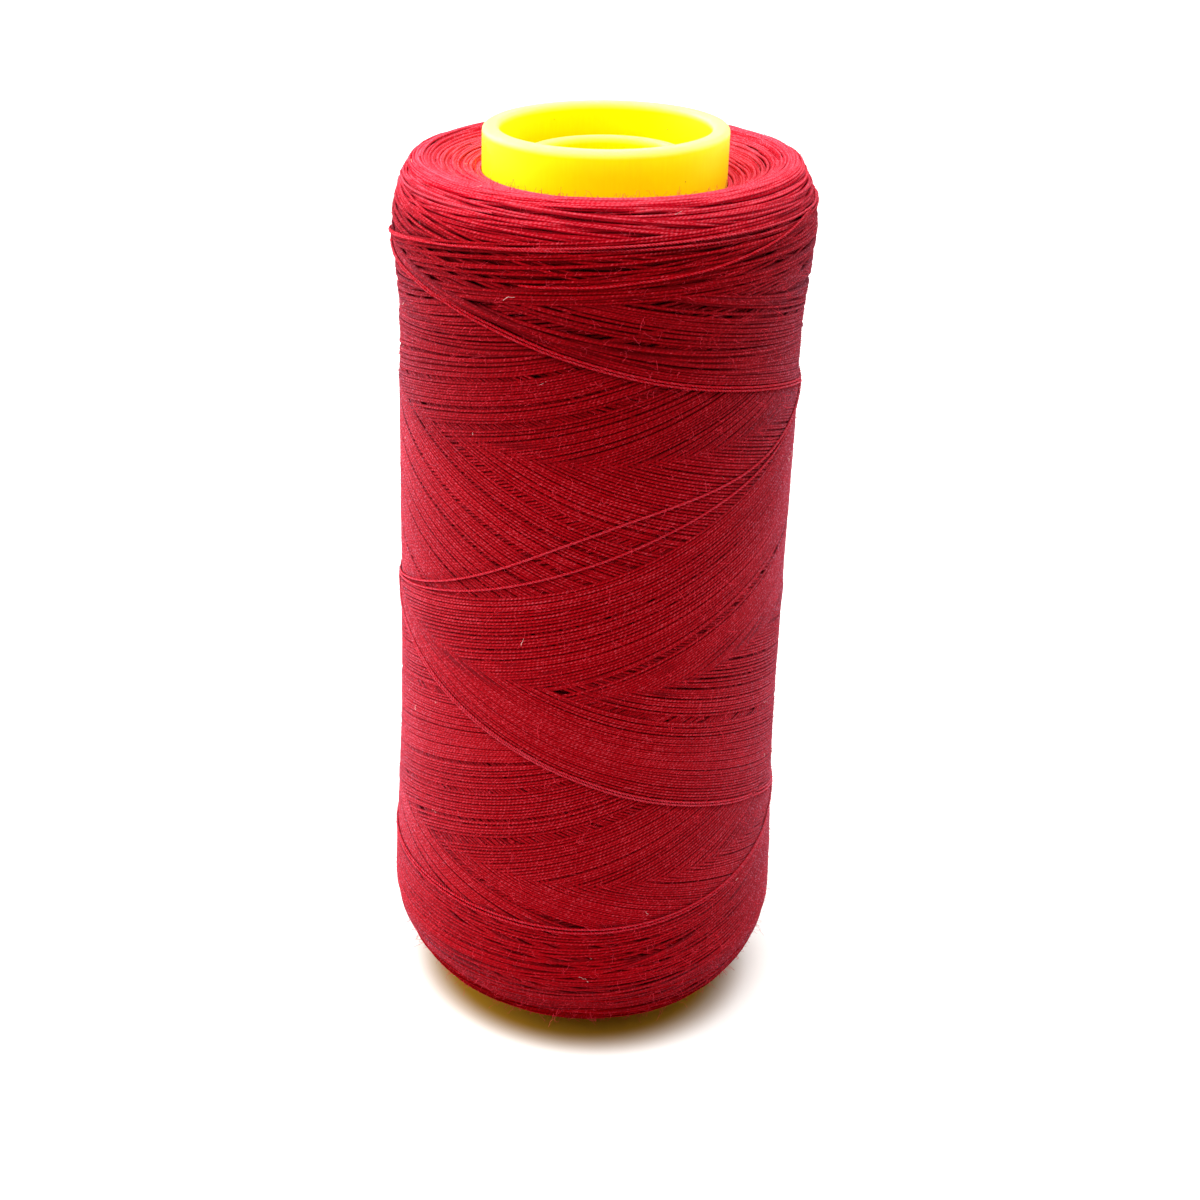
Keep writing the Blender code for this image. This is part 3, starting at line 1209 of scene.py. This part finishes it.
@dataclass
class Ground:
    """The wound surface in space: places on it, raised by a lift over its own broad relief.

    Lengths are in millimetres and angles in degrees.
    """

    winder: Winder
    outside: Outside
    heading: float
    inset: float = 0.20
    squash: float = 0.26
    proud_room: float = 1.5
    # Painted shade: strands this far below the highest nearby strand start to be painted darker, and are full
    # this much further down.
    buried_from: float = 0.11
    buried_width: float = 0.12
    low_side: float = 88.0
    low_side_width: float = 62.0
    low_side_drop: float = 1.7
    other_side_rise: float = 0.4
    face_radius: float = 23.5
    face_width: float = 5.5
    face_above: float = 100.0

    def __post_init__(self) -> None:
        """Work out the broad relief, which the package's outline already holds."""
        self.broad = self.winder.broad_lift()
        self.highest = self.winder.envelope()

    def cell(self, turn: np.ndarray, place: np.ndarray) -> tuple[np.ndarray, np.ndarray]:
        """Return the grid cells of places on the surface."""
        row = ((place - self.winder.lowest) / self.winder.grid_step).astype(int)
        return self.winder.column_of(turn), np.clip(row, 0, self.winder.rows - 1)

    def top(self, turn: np.ndarray, place: np.ndarray) -> np.ndarray:
        """Return the lift of the laid surface at some places."""
        return self.winder.surface[self.cell(turn, place)]

    def by_tube(self, radius: np.ndarray, height: np.ndarray) -> np.ndarray:
        """Return how near places are to the tube on the upper end face, from 0 to 1."""
        return eased(ramp(self.face_radius - radius, self.face_width) * (height > self.face_above))

    def sunk(self, turn: np.ndarray, radius: np.ndarray, height: np.ndarray) -> np.ndarray:
        """Return how much lower the upper end lies beside the tube, which it does on one side.

        Args:
            turn: The angle round the spool of each place.
            radius: Its radius.
            height: Its height.

        Returns:
            The drop at each place.
        """
        aside = (np.mod(turn + self.heading - self.low_side + 180.0, 360.0) - 180.0) / self.low_side_width
        drop = self.low_side_drop * np.exp(-(aside**2)) - self.other_side_rise
        return drop * self.by_tube(radius, height)

    def in_space(self, turn: np.ndarray, radius: np.ndarray, height: np.ndarray) -> np.ndarray:
        """Return points in metres from an angle in degrees and a radius and height in millimetres."""
        angle = np.radians(turn + self.heading)
        return np.stack([radius * np.sin(angle), -radius * np.cos(angle), height], axis=-1) * MM

    def line(
        self,
        turn: np.ndarray,
        place: np.ndarray,
        lift: np.ndarray,
        tint: float,
        lie: Lie,
        proud: float | np.ndarray,
    ) -> Line:
        """Return the line of a strand that lies on the wound surface.

        Args:
            turn: The angle round the spool of each point.
            place: Its place on the outline.
            lift: Its lift in the winder's layers.
            tint: The strand's tint.
            lie: How it lies in the surface.
            proud: How much further out each point stands.

        Returns:
            The line.
        """
        cell = self.cell(turn, place)
        relief = lift - self.broad[cell]
        most = self.squash + self.proud_room * proud
        buried = self.highest[cell] - self.winder.contact_radius - lift
        relief = np.where(relief > 0.0, most * np.tanh(relief / most), relief * lie.dip) + proud
        radius, height = self.outside.at(place, relief - self.inset)
        height = height - self.sunk(turn, radius, height)
        # Painted shade: the depth is how much darker the finish paints a strand that lies below its
        # neighbours.
        depth = lie.shade * ramp(buried - self.buried_from, self.buried_width)
        return Line(self.in_space(turn, radius, height), tint, depth)


@dataclass
class WoundThread:
    """The visible strands of the package, swept along the paths that the winder laid.

    A slack strand has its two plies as separate strands. Lengths are in millimetres.
    """

    ground: Ground
    sample_step: int = 7
    tuck_samples: float = 18.0
    resolution: int = 1
    ply_radius: float = 0.118
    ply_offset: float = 0.092
    ply_twist: float = 0.92
    ply_step: float = 0.15
    ply_tint_step: float = 0.37

    def stretches(self, kinds: Iterable[Kind]) -> list[Line]:
        """Return the visible stretches of thread.

        Args:
            kinds: The kinds of laid thread that are wanted.

        Returns:
            A line for each stretch. A proud one starts and ends level with its neighbours.
        """
        found = []
        wanted = set(kinds)
        for number, run in enumerate(self.ground.winder.runs):
            if run.kind not in wanted:
                continue
            edges = np.flatnonzero(np.diff(np.concatenate([[0], run.shown.astype(int), [0]])))
            tint = (number * GOLDEN) % 1.0
            lie = LIES[run.kind]
            for start, end in zip(edges[::2], edges[1::2]):
                if end - start < 2 * self.sample_step:
                    continue
                picks = np.arange(start, end, self.sample_step)
                if picks[-1] != end - 1:
                    picks = np.append(picks, end - 1)
                proud = lie.proud * ramp(np.minimum(picks - start, end - 1 - picks), self.tuck_samples)
                path = run.turn[picks], run.place[picks], run.lift[picks]
                found.append(self.ground.line(*path, tint, lie, proud))
        return found

    def plies(self, stretch: Line) -> list[Line]:
        """Return the two plies of a stretch, twisted round each other.

        Args:
            stretch: The stretch's middle line.

        Returns:
            The middle line of each ply.
        """
        points, tint = stretch.points, stretch.tint
        along = lengths_along(points) / MM
        fine = np.arange(0.0, along[-1], self.ply_step)
        line = np.stack([np.interp(fine, along, points[:, axis]) for axis in range(3)], axis=-1)
        ahead = np.gradient(line, axis=0)
        ahead /= np.linalg.norm(ahead, axis=1, keepdims=True)
        out = line * np.array([1.0, 1.0, 0.0])
        out -= ahead * (out * ahead).sum(axis=1, keepdims=True)
        out /= np.linalg.norm(out, axis=1, keepdims=True)
        side = np.cross(ahead, out)
        found = []
        for part in range(2):
            phase = math.tau * (fine / self.ply_twist + 0.5 * part + tint)
            offset = (out * np.cos(phase)[:, None] + side * np.sin(phase)[:, None]) * self.ply_offset * MM
            found.append(Line(line + offset, (tint + self.ply_tint_step * part) % 1.0, np.zeros(len(fine))))
        return found

    def build(self, name: str, kind: Kind, material: bpy.types.Material) -> list[bpy.types.Object]:
        """Build the strands of one kind as one or more pieces."""
        radius = self.ground.winder.strand_radius * MM * LIES[kind].girth
        return swept_lots(name, self.stretches([kind]), radius, self.resolution, material)

    def build_plied(
        self, name: str, kinds: Iterable[Kind], material: bpy.types.Material
    ) -> list[bpy.types.Object]:
        """Build the strands of some kinds with their two plies.

        Args:
            name: The piece's name.
            kinds: The kinds of laid thread.
            material: The material of the pieces.

        Returns:
            One or more pieces.
        """
        whole = [stretch for stretch in self.stretches(kinds) if len(stretch.points) > 3]
        lines = [ply for stretch in whole for ply in self.plies(stretch)]
        return swept_lots(name, lines, self.ply_radius * MM, 0, material)


def swept_lots(
    name: str,
    lines: list[Line],
    radius: float,
    resolution: int,
    material: bpy.types.Material,
) -> list[bpy.types.Object]:
    """Sweep a round section along lines, in as many pieces as keep each mesh small enough.

    Args:
        name: The piece's name, which gets a number where there is more than one piece.
        lines: The middle line of each strand.
        radius: The section's radius in metres.
        resolution: The curve's bevel resolution, which gives 4 sides and 2 more for each step.
        material: The pieces' material.

    Returns:
        The pieces.
    """
    lots: list[list[Line]] = [[]]
    size = 0
    for line in lines:
        cost = (len(line.points) - 1) * (4 + 2 * resolution) * 2
        if lots[-1] and size + cost > PIECE_TRIANGLES:
            lots.append([])
            size = 0
        lots[-1].append(line)
        size += cost
    names = [name] if len(lots) == 1 else [f"{name}_{index + 1}" for index in range(len(lots))]
    return [swept(label, lot, radius, resolution, material) for label, lot in zip(names, lots)]


def swept(
    name: str,
    lines: list[Line],
    radius: float,
    resolution: int,
    material: bpy.types.Material,
) -> bpy.types.Object:
    """Sweep a round section along lines as one piece.

    Args:
        name: The piece's name.
        lines: The middle line of each strand.
        radius: The section's radius in metres.
        resolution: The curve's bevel resolution, which gives 4 sides and 2 more for each step.
        material: The piece's material.

    Returns:
        The piece, with a map named Strand of length and turn, and its tint, depth and crest.
    """
    curve = bpy.data.curves.new(name, "CURVE")
    curve.dimensions = "3D"
    curve.bevel_depth = radius
    curve.bevel_resolution = resolution
    curve.use_fill_caps = False
    for line in lines:
        spline = curve.splines.new("POLY")
        spline.points.add(len(line.points) - 1)
        packed = np.concatenate([line.points, np.ones((len(line.points), 1))], axis=1)
        spline.points.foreach_set("co", packed.ravel())
        spline.use_smooth = True
    holder = bpy.data.objects.new(name, curve)
    bpy.context.scene.collection.objects.link(holder)
    graph = bpy.context.evaluated_depsgraph_get()
    mesh = bpy.data.meshes.new_from_object(holder.evaluated_get(graph))
    bpy.data.objects.remove(holder)
    mesh.name = name
    piece = from_mesh(name, mesh, material)
    StrandMaps(lines, radius, 4 + 2 * resolution).give(mesh)
    return piece


@dataclass
class StrandMaps:
    """The map and the attributes that a thread's finish reads from its swept mesh."""

    lines: list[Line]
    radius: float
    sides: int
    map_step: float = 7.3
    map_range: float = 50.0

    def give_map(self, mesh: bpy.types.Mesh, ring: np.ndarray) -> None:
        """Give the mesh its Strand map, in millimetres along and turns around.

        Args:
            mesh: The swept mesh.
            ring: The number of the ring that each corner of the mesh is on.
        """
        starts = [self.map_step * number % self.map_range for number in range(len(self.lines))]
        along = [lengths_along(line.points) / MM + start for line, start in zip(self.lines, starts)]
        corners = np.empty(len(mesh.loops), np.int32)
        mesh.loops.foreach_get("vertex_index", corners)
        around = (corners % self.sides / self.sides).reshape(-1, 4)
        wraps = (around.max(axis=1) - around.min(axis=1)) > 0.5
        around[wraps] = np.where(around[wraps] < 0.5, around[wraps] + 1.0, around[wraps])
        places = np.stack([np.concatenate(along)[ring[corners]], around.ravel()], axis=-1)
        mesh.uv_layers.new(name="Strand").data.foreach_set("uv", places.astype(np.float32).ravel())

    def give(self, mesh: bpy.types.Mesh) -> None:
        """Give the mesh its Strand map and its tint, crest and depth.

        Args:
            mesh: The swept mesh, whose corners come ring by ring along each line.
        """
        count = len(mesh.vertices)
        middles = np.concatenate([line.points for line in self.lines])
        if count != len(middles) * self.sides:
            raise RuntimeError(f"{mesh.name} has {count} corners and not {len(middles) * self.sides}")
        ring = np.arange(count) // self.sides
        self.give_map(mesh, ring)
        spots = np.empty(count * 3)
        mesh.vertices.foreach_get("co", spots)
        raised = (spots.reshape(-1, 3) - middles[ring]) * outward(middles)[ring]
        attributes = {
            "tint": np.concatenate([np.full(len(line.points), line.tint) for line in self.lines])[ring],
            # The crest says how far each corner stands out of the package; the finish puts painted highlight
            # there.
            "crest": raised.sum(axis=1) / self.radius,
            # The depth is how much painted shade each corner takes.
            "depth": np.concatenate([line.depth for line in self.lines])[ring],
        }
        for label, values in attributes.items():
            mesh.attributes.new(label, "FLOAT", "POINT").data.foreach_set("value", values.astype(np.float32))


@dataclass
class Underbody:
    """The deeper layers as one turned body, just under the lowest strands that are modelled.

    Lengths are in millimetres.
    """

    ground: Ground
    depth: float = 0.62
    bore_room: float = 0.05
    face_room: float = 0.3
    place_step: float = 1.0
    steps: int = 180

    def build(self, name: str, material: bpy.types.Material) -> bpy.types.Object:
        """Build the body.

        Args:
            name: The piece's name.
            material: The piece's material.

        Returns:
            The piece.
        """
        outside = self.ground.outside
        places = np.arange(outside.length[0], outside.length[-1], self.place_step)
        places = np.append(places, outside.length[-1])
        radius, height = outside.at(places, np.full(len(places), -self.ground.inset - self.depth))
        bore = outside.radius[0]
        radius = np.maximum(radius, bore + self.bore_room)
        height = height - (self.ground.low_side_drop + self.face_room) * self.ground.by_tube(radius, height)
        profile = [(r * MM, h * MM) for r, h in zip(radius[::-1], height[::-1])]
        profile += [(bore * MM, height[0] * MM), (bore * MM, height[-1] * MM)]
        return from_bmesh(name, turned(profile, self.steps), material)


@dataclass
class Fuzz:
    """Fibres that stand off the wound surface in short curls.

    Lengths are in millimetres and bearings in radians.
    """

    ground: Ground
    name: str
    count: int
    radius: float
    shortest: float
    longest: float
    rise: float
    knots: int
    seed: int
    end_margin: float = 1.0
    bearing_spread: float = 0.8
    bend: float = 1.5
    wobble: float = 0.25
    arched: float = 0.55
    foot: float = 0.06

    def lines(self) -> list[Line]:
        """Return the fibres' lines."""
        random = np.random.default_rng(self.seed)
        ground = self.ground
        low, high = ground.outside.length[0], ground.outside.length[-1]
        parts = np.linspace(0.0, 1.0, self.knots)
        found = []
        for number in range(self.count):
            turn = random.uniform(0.0, 360.0)
            place = random.uniform(low + self.end_margin, high - self.end_margin)
            length = random.uniform(self.shortest, self.longest) * random.uniform(0.5, 1.0)
            bearing = random.normal(0.0, self.bearing_spread) + (math.pi if random.random() < 0.5 else 0.0)
            heading = bearing + random.normal(0.0, self.bend) * parts
            heading = heading + random.normal(0.0, self.wobble, self.knots)
            step = length / (self.knots - 1)
            side = np.concatenate([[0.0], np.cumsum(np.cos(heading[:-1]) * step)])
            climb = np.concatenate([[0.0], np.cumsum(np.sin(heading[:-1]) * step)])
            turns = turn + np.degrees(side / ground.winder.body_radius)
            places = np.clip(place + climb, low, high)
            arch = np.sin(np.pi * parts) if random.random() < self.arched else parts
            rise = self.foot + abs(random.normal(0.0, self.rise)) * length * arch
            tint = (number * GOLDEN) % 1.0
            found.append(ground.line(turns, places, ground.top(turns, places), tint, FIBRE_LIE, rise))
        return found

    def build(self, material: bpy.types.Material) -> list[bpy.types.Object]:
        """Build the fibres as one or more pieces."""
        return swept_lots(self.name, self.lines(), self.radius * MM, 0, material)


@dataclass
class CollarFibres:
    """Short fibres that stand up against the tube where the thread meets it.

    Lengths are in millimetres.
    """

    ground: Ground
    name: str = "collar_fibres"
    count: int = 900
    radius: float = 0.011
    longest: float = 2.2
    shortest_share: float = 0.2
    sway: float = 0.4
    sway_length: float = 20.0
    stand_off: float = 0.12
    stand_off_spread: float = 0.3
    root_depth: float = 0.3
    edge_inset: float = 0.1
    knots: int = 5
    seed: int = 33

    def lines(self) -> list[Line]:
        """Return the fibres' lines."""
        random = np.random.default_rng(self.seed)
        ground = self.ground
        edge = np.array([ground.outside.length[-1] - self.edge_inset])
        steps = np.linspace(0.0, 1.0, self.knots)
        found = []
        for number in range(self.count):
            turn = random.uniform(0.0, 360.0)
            base = ground.line(np.array([turn]), edge, np.zeros(1), 0.5, FIBRE_LIE, 0.0).points[0] / MM
            length = self.longest * random.uniform(self.shortest_share, 1.0) ** 2
            sway = random.normal(0.0, self.sway) * steps * length / self.sway_length
            stand_off = self.stand_off + random.uniform(0.0, self.stand_off_spread) * steps
            reach = math.hypot(base[0], base[1]) + stand_off
            height = base[2] + length * steps - self.root_depth
            points = ground.in_space(turn + np.degrees(sway), reach, height)
            found.append(Line(points, (number * GOLDEN) % 1.0, np.zeros(self.knots)))
        return found

    def build(self, material: bpy.types.Material) -> list[bpy.types.Object]:
        """Build the fibres as one or more pieces."""
        return swept_lots(self.name, self.lines(), self.radius * MM, 0, material)


# ---------------------------------------------------------------------------------------------------
# Plastic


@dataclass
class TubeWall:
    """A plain tube wall with rounded ends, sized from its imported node, in metres."""

    node: str
    wall: float = 2.3 * MM
    outer_edge: float = 0.70 * MM
    inner_edge: float = 0.55 * MM
    steps: int = 192

    def build(self, name: str, material: bpy.types.Material) -> bpy.types.Object:
        """Build the wall as one turned piece.

        Args:
            name: The piece's name.
            material: The piece's material.

        Returns:
            The piece.
        """
        (_, _, base), (outer, _, top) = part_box(self.node)
        inner = outer - self.wall
        far, near = self.outer_edge, self.inner_edge
        profile = rounded((outer - far, top - far), far, 90.0)
        profile += rounded((outer - far, base + far), far, 0.0)
        profile += rounded((inner + near, base + near), near, -90.0)
        profile += rounded((inner + near, top - near), near, -180.0)
        return from_bmesh(name, turned(profile, self.steps), material)


# ---------------------------------------------------------------------------------------------------
# Studio


@dataclass(frozen=True)
class Lamp:
    """A broad soft lamp far off: its angles round the spool and above it, its breadth and its light."""

    name: str
    side: float
    rise: float
    breadth: float
    light: float

    def build(self) -> None:
        """Add the lamp, which shines on the spool."""
        data = bpy.data.lights.new(self.name, "SUN")
        data.angle = math.radians(self.breadth)
        data.energy = self.light
        turn, rise = math.radians(self.side), math.radians(self.rise)
        toward = Vector((math.sin(turn) * math.cos(rise), -math.cos(turn) * math.cos(rise), math.sin(rise)))
        holder = bpy.data.objects.new(self.name, data)
        holder.location = toward
        holder.rotation_euler = (-toward).to_track_quat("-Z", "Y").to_euler()
        bpy.context.scene.collection.objects.link(holder)


@dataclass
class Studio:
    """A white table and surround in soft light, and the camera.

    Lengths of the camera's place are in millimetres, its clip and those on the table in metres, and angles
    in degrees.
    """

    lens: float = 60.64
    sensor: float = 36.0
    shift: Point = (0.1833, -0.025)
    distance: float = 300.82
    pitch: float = 24.61
    roll: float = -0.79
    aim: Point = (-31.33, 69.15)
    clip: Point = (0.01, 10.0)
    table_size: float = 3.0
    # Painted shadow: a dark brown ring round the foot, as the tube and thread would tint it, fading out over
    # the shadow edge; the near colour is a faint warm painted shade that fades into white.
    shadow: Colour = (0.30, 0.16, 0.015)
    shadow_edge: Point = (0.0205, 0.0278)
    near_painted_shade: Colour = (0.97, 0.96, 0.93)
    white_edge: Point = (0.034, 0.070)
    far_white: Colour = (0.97, 0.97, 0.965)
    bounce: float = 0.55
    surround: float = 0.10
    lamps: tuple[Lamp, ...] = (
        Lamp("front_lamp", -18.0, 58.0, 45.0, 2.3),
        Lamp("far_left_lamp", -130.0, 20.0, 45.0, 4.0),
        Lamp("left_lamp", -100.0, 20.0, 45.0, 2.7),
        Lamp("right_lamp", 108.0, 20.0, 50.0, 2.3),
        Lamp("upper_lamp", 0.0, 84.0, 36.0, 1.35),
        Lamp("back_lamp", 172.0, 35.0, 50.0, 0.6),
    )

    def add_camera(self) -> None:
        """Place the camera at the viewing angle."""
        data = bpy.data.cameras.new("camera")
        data.sensor_width = self.sensor
        data.lens = self.lens
        data.shift_x, data.shift_y = self.shift
        data.clip_start, data.clip_end = self.clip
        pitch, roll = math.radians(self.pitch), math.radians(self.roll)
        forward = Vector((0.0, math.cos(pitch), -math.sin(pitch)))
        level = Vector((1.0, 0.0, 0.0))
        rise = level.cross(forward)
        right = level * math.cos(roll) + rise * math.sin(roll)
        up = rise * math.cos(roll) - level * math.sin(roll)
        place = Vector((self.aim[0], 0.0, self.aim[1])) * MM - forward * self.distance * MM
        turn = Matrix((right, up, -forward)).transposed()
        camera = bpy.data.objects.new("camera", data)
        camera.matrix_world = Matrix.Translation(place) @ turn.to_4x4()
        bpy.context.scene.collection.objects.link(camera)
        bpy.context.scene.camera = camera

    def add_table(self) -> None:
        """Add the white table, which keeps the object's shadow, has a painted shadow and faint painted shade
        round the spool, and lights the spool less from below.
        """
        shader = Shader.of_material("white_table")
        path = shader.add("ShaderNodeLightPath", {}, {})
        rays = ("Is Camera Ray", "Is Glossy Ray", "Is Transmission Ray")
        seen = sum(Socket(shader, path.outputs[ray]) for ray in rays)
        away = shader.vector("LENGTH", {0: shader.places()}, "Value")
        # Painted shadow near the foot, then faint painted shade, then white.
        tone = shader.blend(away.spread(*self.shadow_edge), self.shadow, self.near_painted_shade)
        tone = shader.blend(away.spread(*self.white_edge), tone, self.far_white)
        white = shader.node("ShaderNodeBsdfDiffuse", {}, {"Color": tone})
        low = shader.node("ShaderNodeBsdfDiffuse", {}, {"Color": (self.bounce,) * 3})
        material = shader.finish(shader.mixed(seen.limited(), low, white))
        shape = bmesh.new()
        bmesh.ops.create_grid(shape, x_segments=1, y_segments=1, size=self.table_size)
        from_bmesh("table", shape, material)

    def add_surround(self) -> None:
        """Add a pale surround, which is seen as white and lights the spool less than that."""
        shader = Shader(bpy.data.worlds.new("surround"))
        seen = shader.node("ShaderNodeLightPath", {}, {}, "Is Camera Ray")
        level = shader.node("ShaderNodeMapRange", {}, {"Value": seen, "To Min": self.surround, "To Max": 1.0})
        white = shader.node("ShaderNodeBackground", {}, {"Color": (1.0, 1.0, 1.0), "Strength": level})
        bpy.context.scene.world = shader.finish(white)

    def build(self) -> None:
        """Build the studio and set how it is shown."""
        self.add_camera()
        self.add_table()
        self.add_surround()
        for lamp in self.lamps:
            lamp.build()
        bpy.context.scene.view_settings.view_transform = "Standard"


# ---------------------------------------------------------------------------------------------------
# The spool


def dress(slot: Slot, *pieces: bpy.types.Object) -> None:
    """Make pieces ride on the root body, and report each.

    Args:
        slot: The record's material slot. It is not used.
        pieces: The finished pieces.
    """
    for piece in pieces:
        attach(piece, ROOT)
        LOG.info("%s: %d faces", piece.name, len(piece.data.polygons))


class Plastic:
    """The tube and the spindle sleeve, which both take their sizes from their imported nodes."""

    def build(self) -> None:
        """Build the tube's wall, and give the sleeve its finish."""
        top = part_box("core_tube")[1][2]
        plastic = PlasticFinish("tube_plastic", rim=top).material()
        tube = TubeWall("core_tube").build("tube_wall", plastic)
        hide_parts("core_tube")
        dress(Slot.TUBE, tube)
        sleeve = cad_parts["spindle_sleeve"].data
        sleeve_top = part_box("spindle_sleeve")[1][2]
        sleeve.materials.clear()
        sleeve.materials.append(PlasticFinish("sleeve_plastic", rim=sleeve_top).material())
        LOG.info("spindle_sleeve: finished")


@dataclass
class Package:
    """The wound thread: deep layers, strands, slack turns and fibres. The heading is in degrees."""

    heading: float = -6.53
    level_deep: Colour = (0.13, 0.0, 0.0)
    level_middle: Colour = (0.42, 0.0, 0.003)
    level_bloom: Point = (0.03, 0.40)
    # Painted light: the slack strands are coloured lighter, with more pale fibre, because they stand proud
    # and catch light.
    slack_lit_deep: Colour = (0.44, 0.0010, 0.0050)
    slack_lit_middle: Colour = (0.66, 0.0100, 0.0300)
    slack_lit_fluff: float = -0.20
    fibre_red: Colour = (0.82, 0.03, 0.06)
    fibre_amber: Colour = (0.80, 0.26, 0.01)
    lint_pink: Colour = (0.98, 0.62, 0.56)

    def wind(self) -> Ground:
        """Wind the thread, and return its surface."""
        winder = Winder()
        winder.wind()
        return Ground(winder, Outside(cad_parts["thread_package"]), self.heading)

    def build_strands(self, ground: Ground) -> None:
        """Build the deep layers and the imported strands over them.

        Args:
            ground: The wound surface.
        """
        body = Underbody(ground).build("deep_layers", DeepFinish().material())
        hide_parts("thread_package")
        dress(Slot.THREAD, body)
        banded = ThreadFinish("wound_thread").material()
        colours = {"deep": self.level_deep, "middle": self.level_middle}
        level = ThreadFinish("level_thread", bloom=self.level_bloom, **colours).material()
        rows = (
            ("lower_end_turns", Kind.LOWER_END, level),
            ("upper_end_turns", Kind.UPPER_END, level),
            ("crossing_band", Kind.BAND, banded),
        )
        for row in rows:
            dress(Slot.THREAD, *WoundThread(ground).build(*row))

    def build_slack(self, ground: Ground) -> None:
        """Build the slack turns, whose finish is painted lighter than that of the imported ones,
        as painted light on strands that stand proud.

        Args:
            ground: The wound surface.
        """
        colours = {"deep": self.slack_lit_deep, "middle": self.slack_lit_middle}
        slack = ThreadFinish("loose_thread", fibre_light_and_shade_start=self.slack_lit_fluff, twist=0.0, **colours).material()
        loose = WoundThread(ground).build_plied("loose_turns", [Kind.LOOSE, Kind.FREE_END], slack)
        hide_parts("loose_turn_top", "loose_turn_upper", "loose_turn_lower", "loose_turn_base")
        dress(Slot.LOOSE, *loose)

    def build_fibres(self, ground: Ground) -> None:
        """Build the fuzz, the curled fibres, the fibres against the tube and the lint.

        Args:
            ground: The wound surface.
        """
        red = FibreFinish("fibres", self.fibre_red).material()
        amber = FibreFinish("collar_fibres", self.fibre_amber).material()
        pink = FibreFinish("lint", self.lint_pink).material()
        short = Fuzz(ground, "fuzz", 16000, 0.016, shortest=0.5, longest=1.9, rise=0.62, knots=4, seed=21)
        curls = Fuzz(
            ground, "curled_fibres", 700, 0.016, shortest=1.2, longest=3.6, rise=0.28, knots=7, seed=8
        )
        lint = Fuzz(ground, "lint", 90, 0.028, shortest=1.0, longest=3.2, rise=0.12, knots=9, seed=5)
        for fibres, material in ((short, red), (curls, red), (CollarFibres(ground), amber), (lint, pink)):
            dress(Slot.THREAD, *fibres.build(material))

    def build(self) -> None:
        """Build the whole package."""
        ground = self.wind()
        self.build_strands(ground)
        self.build_slack(ground)
        self.build_fibres(ground)


def main() -> None:
    """Build the spool and its studio."""
    logging.basicConfig(level=logging.INFO, format="%(name)s: %(message)s")
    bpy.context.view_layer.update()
    Plastic().build()
    Package().build()
    Studio().build()


if __name__ == "__main__":
    main()
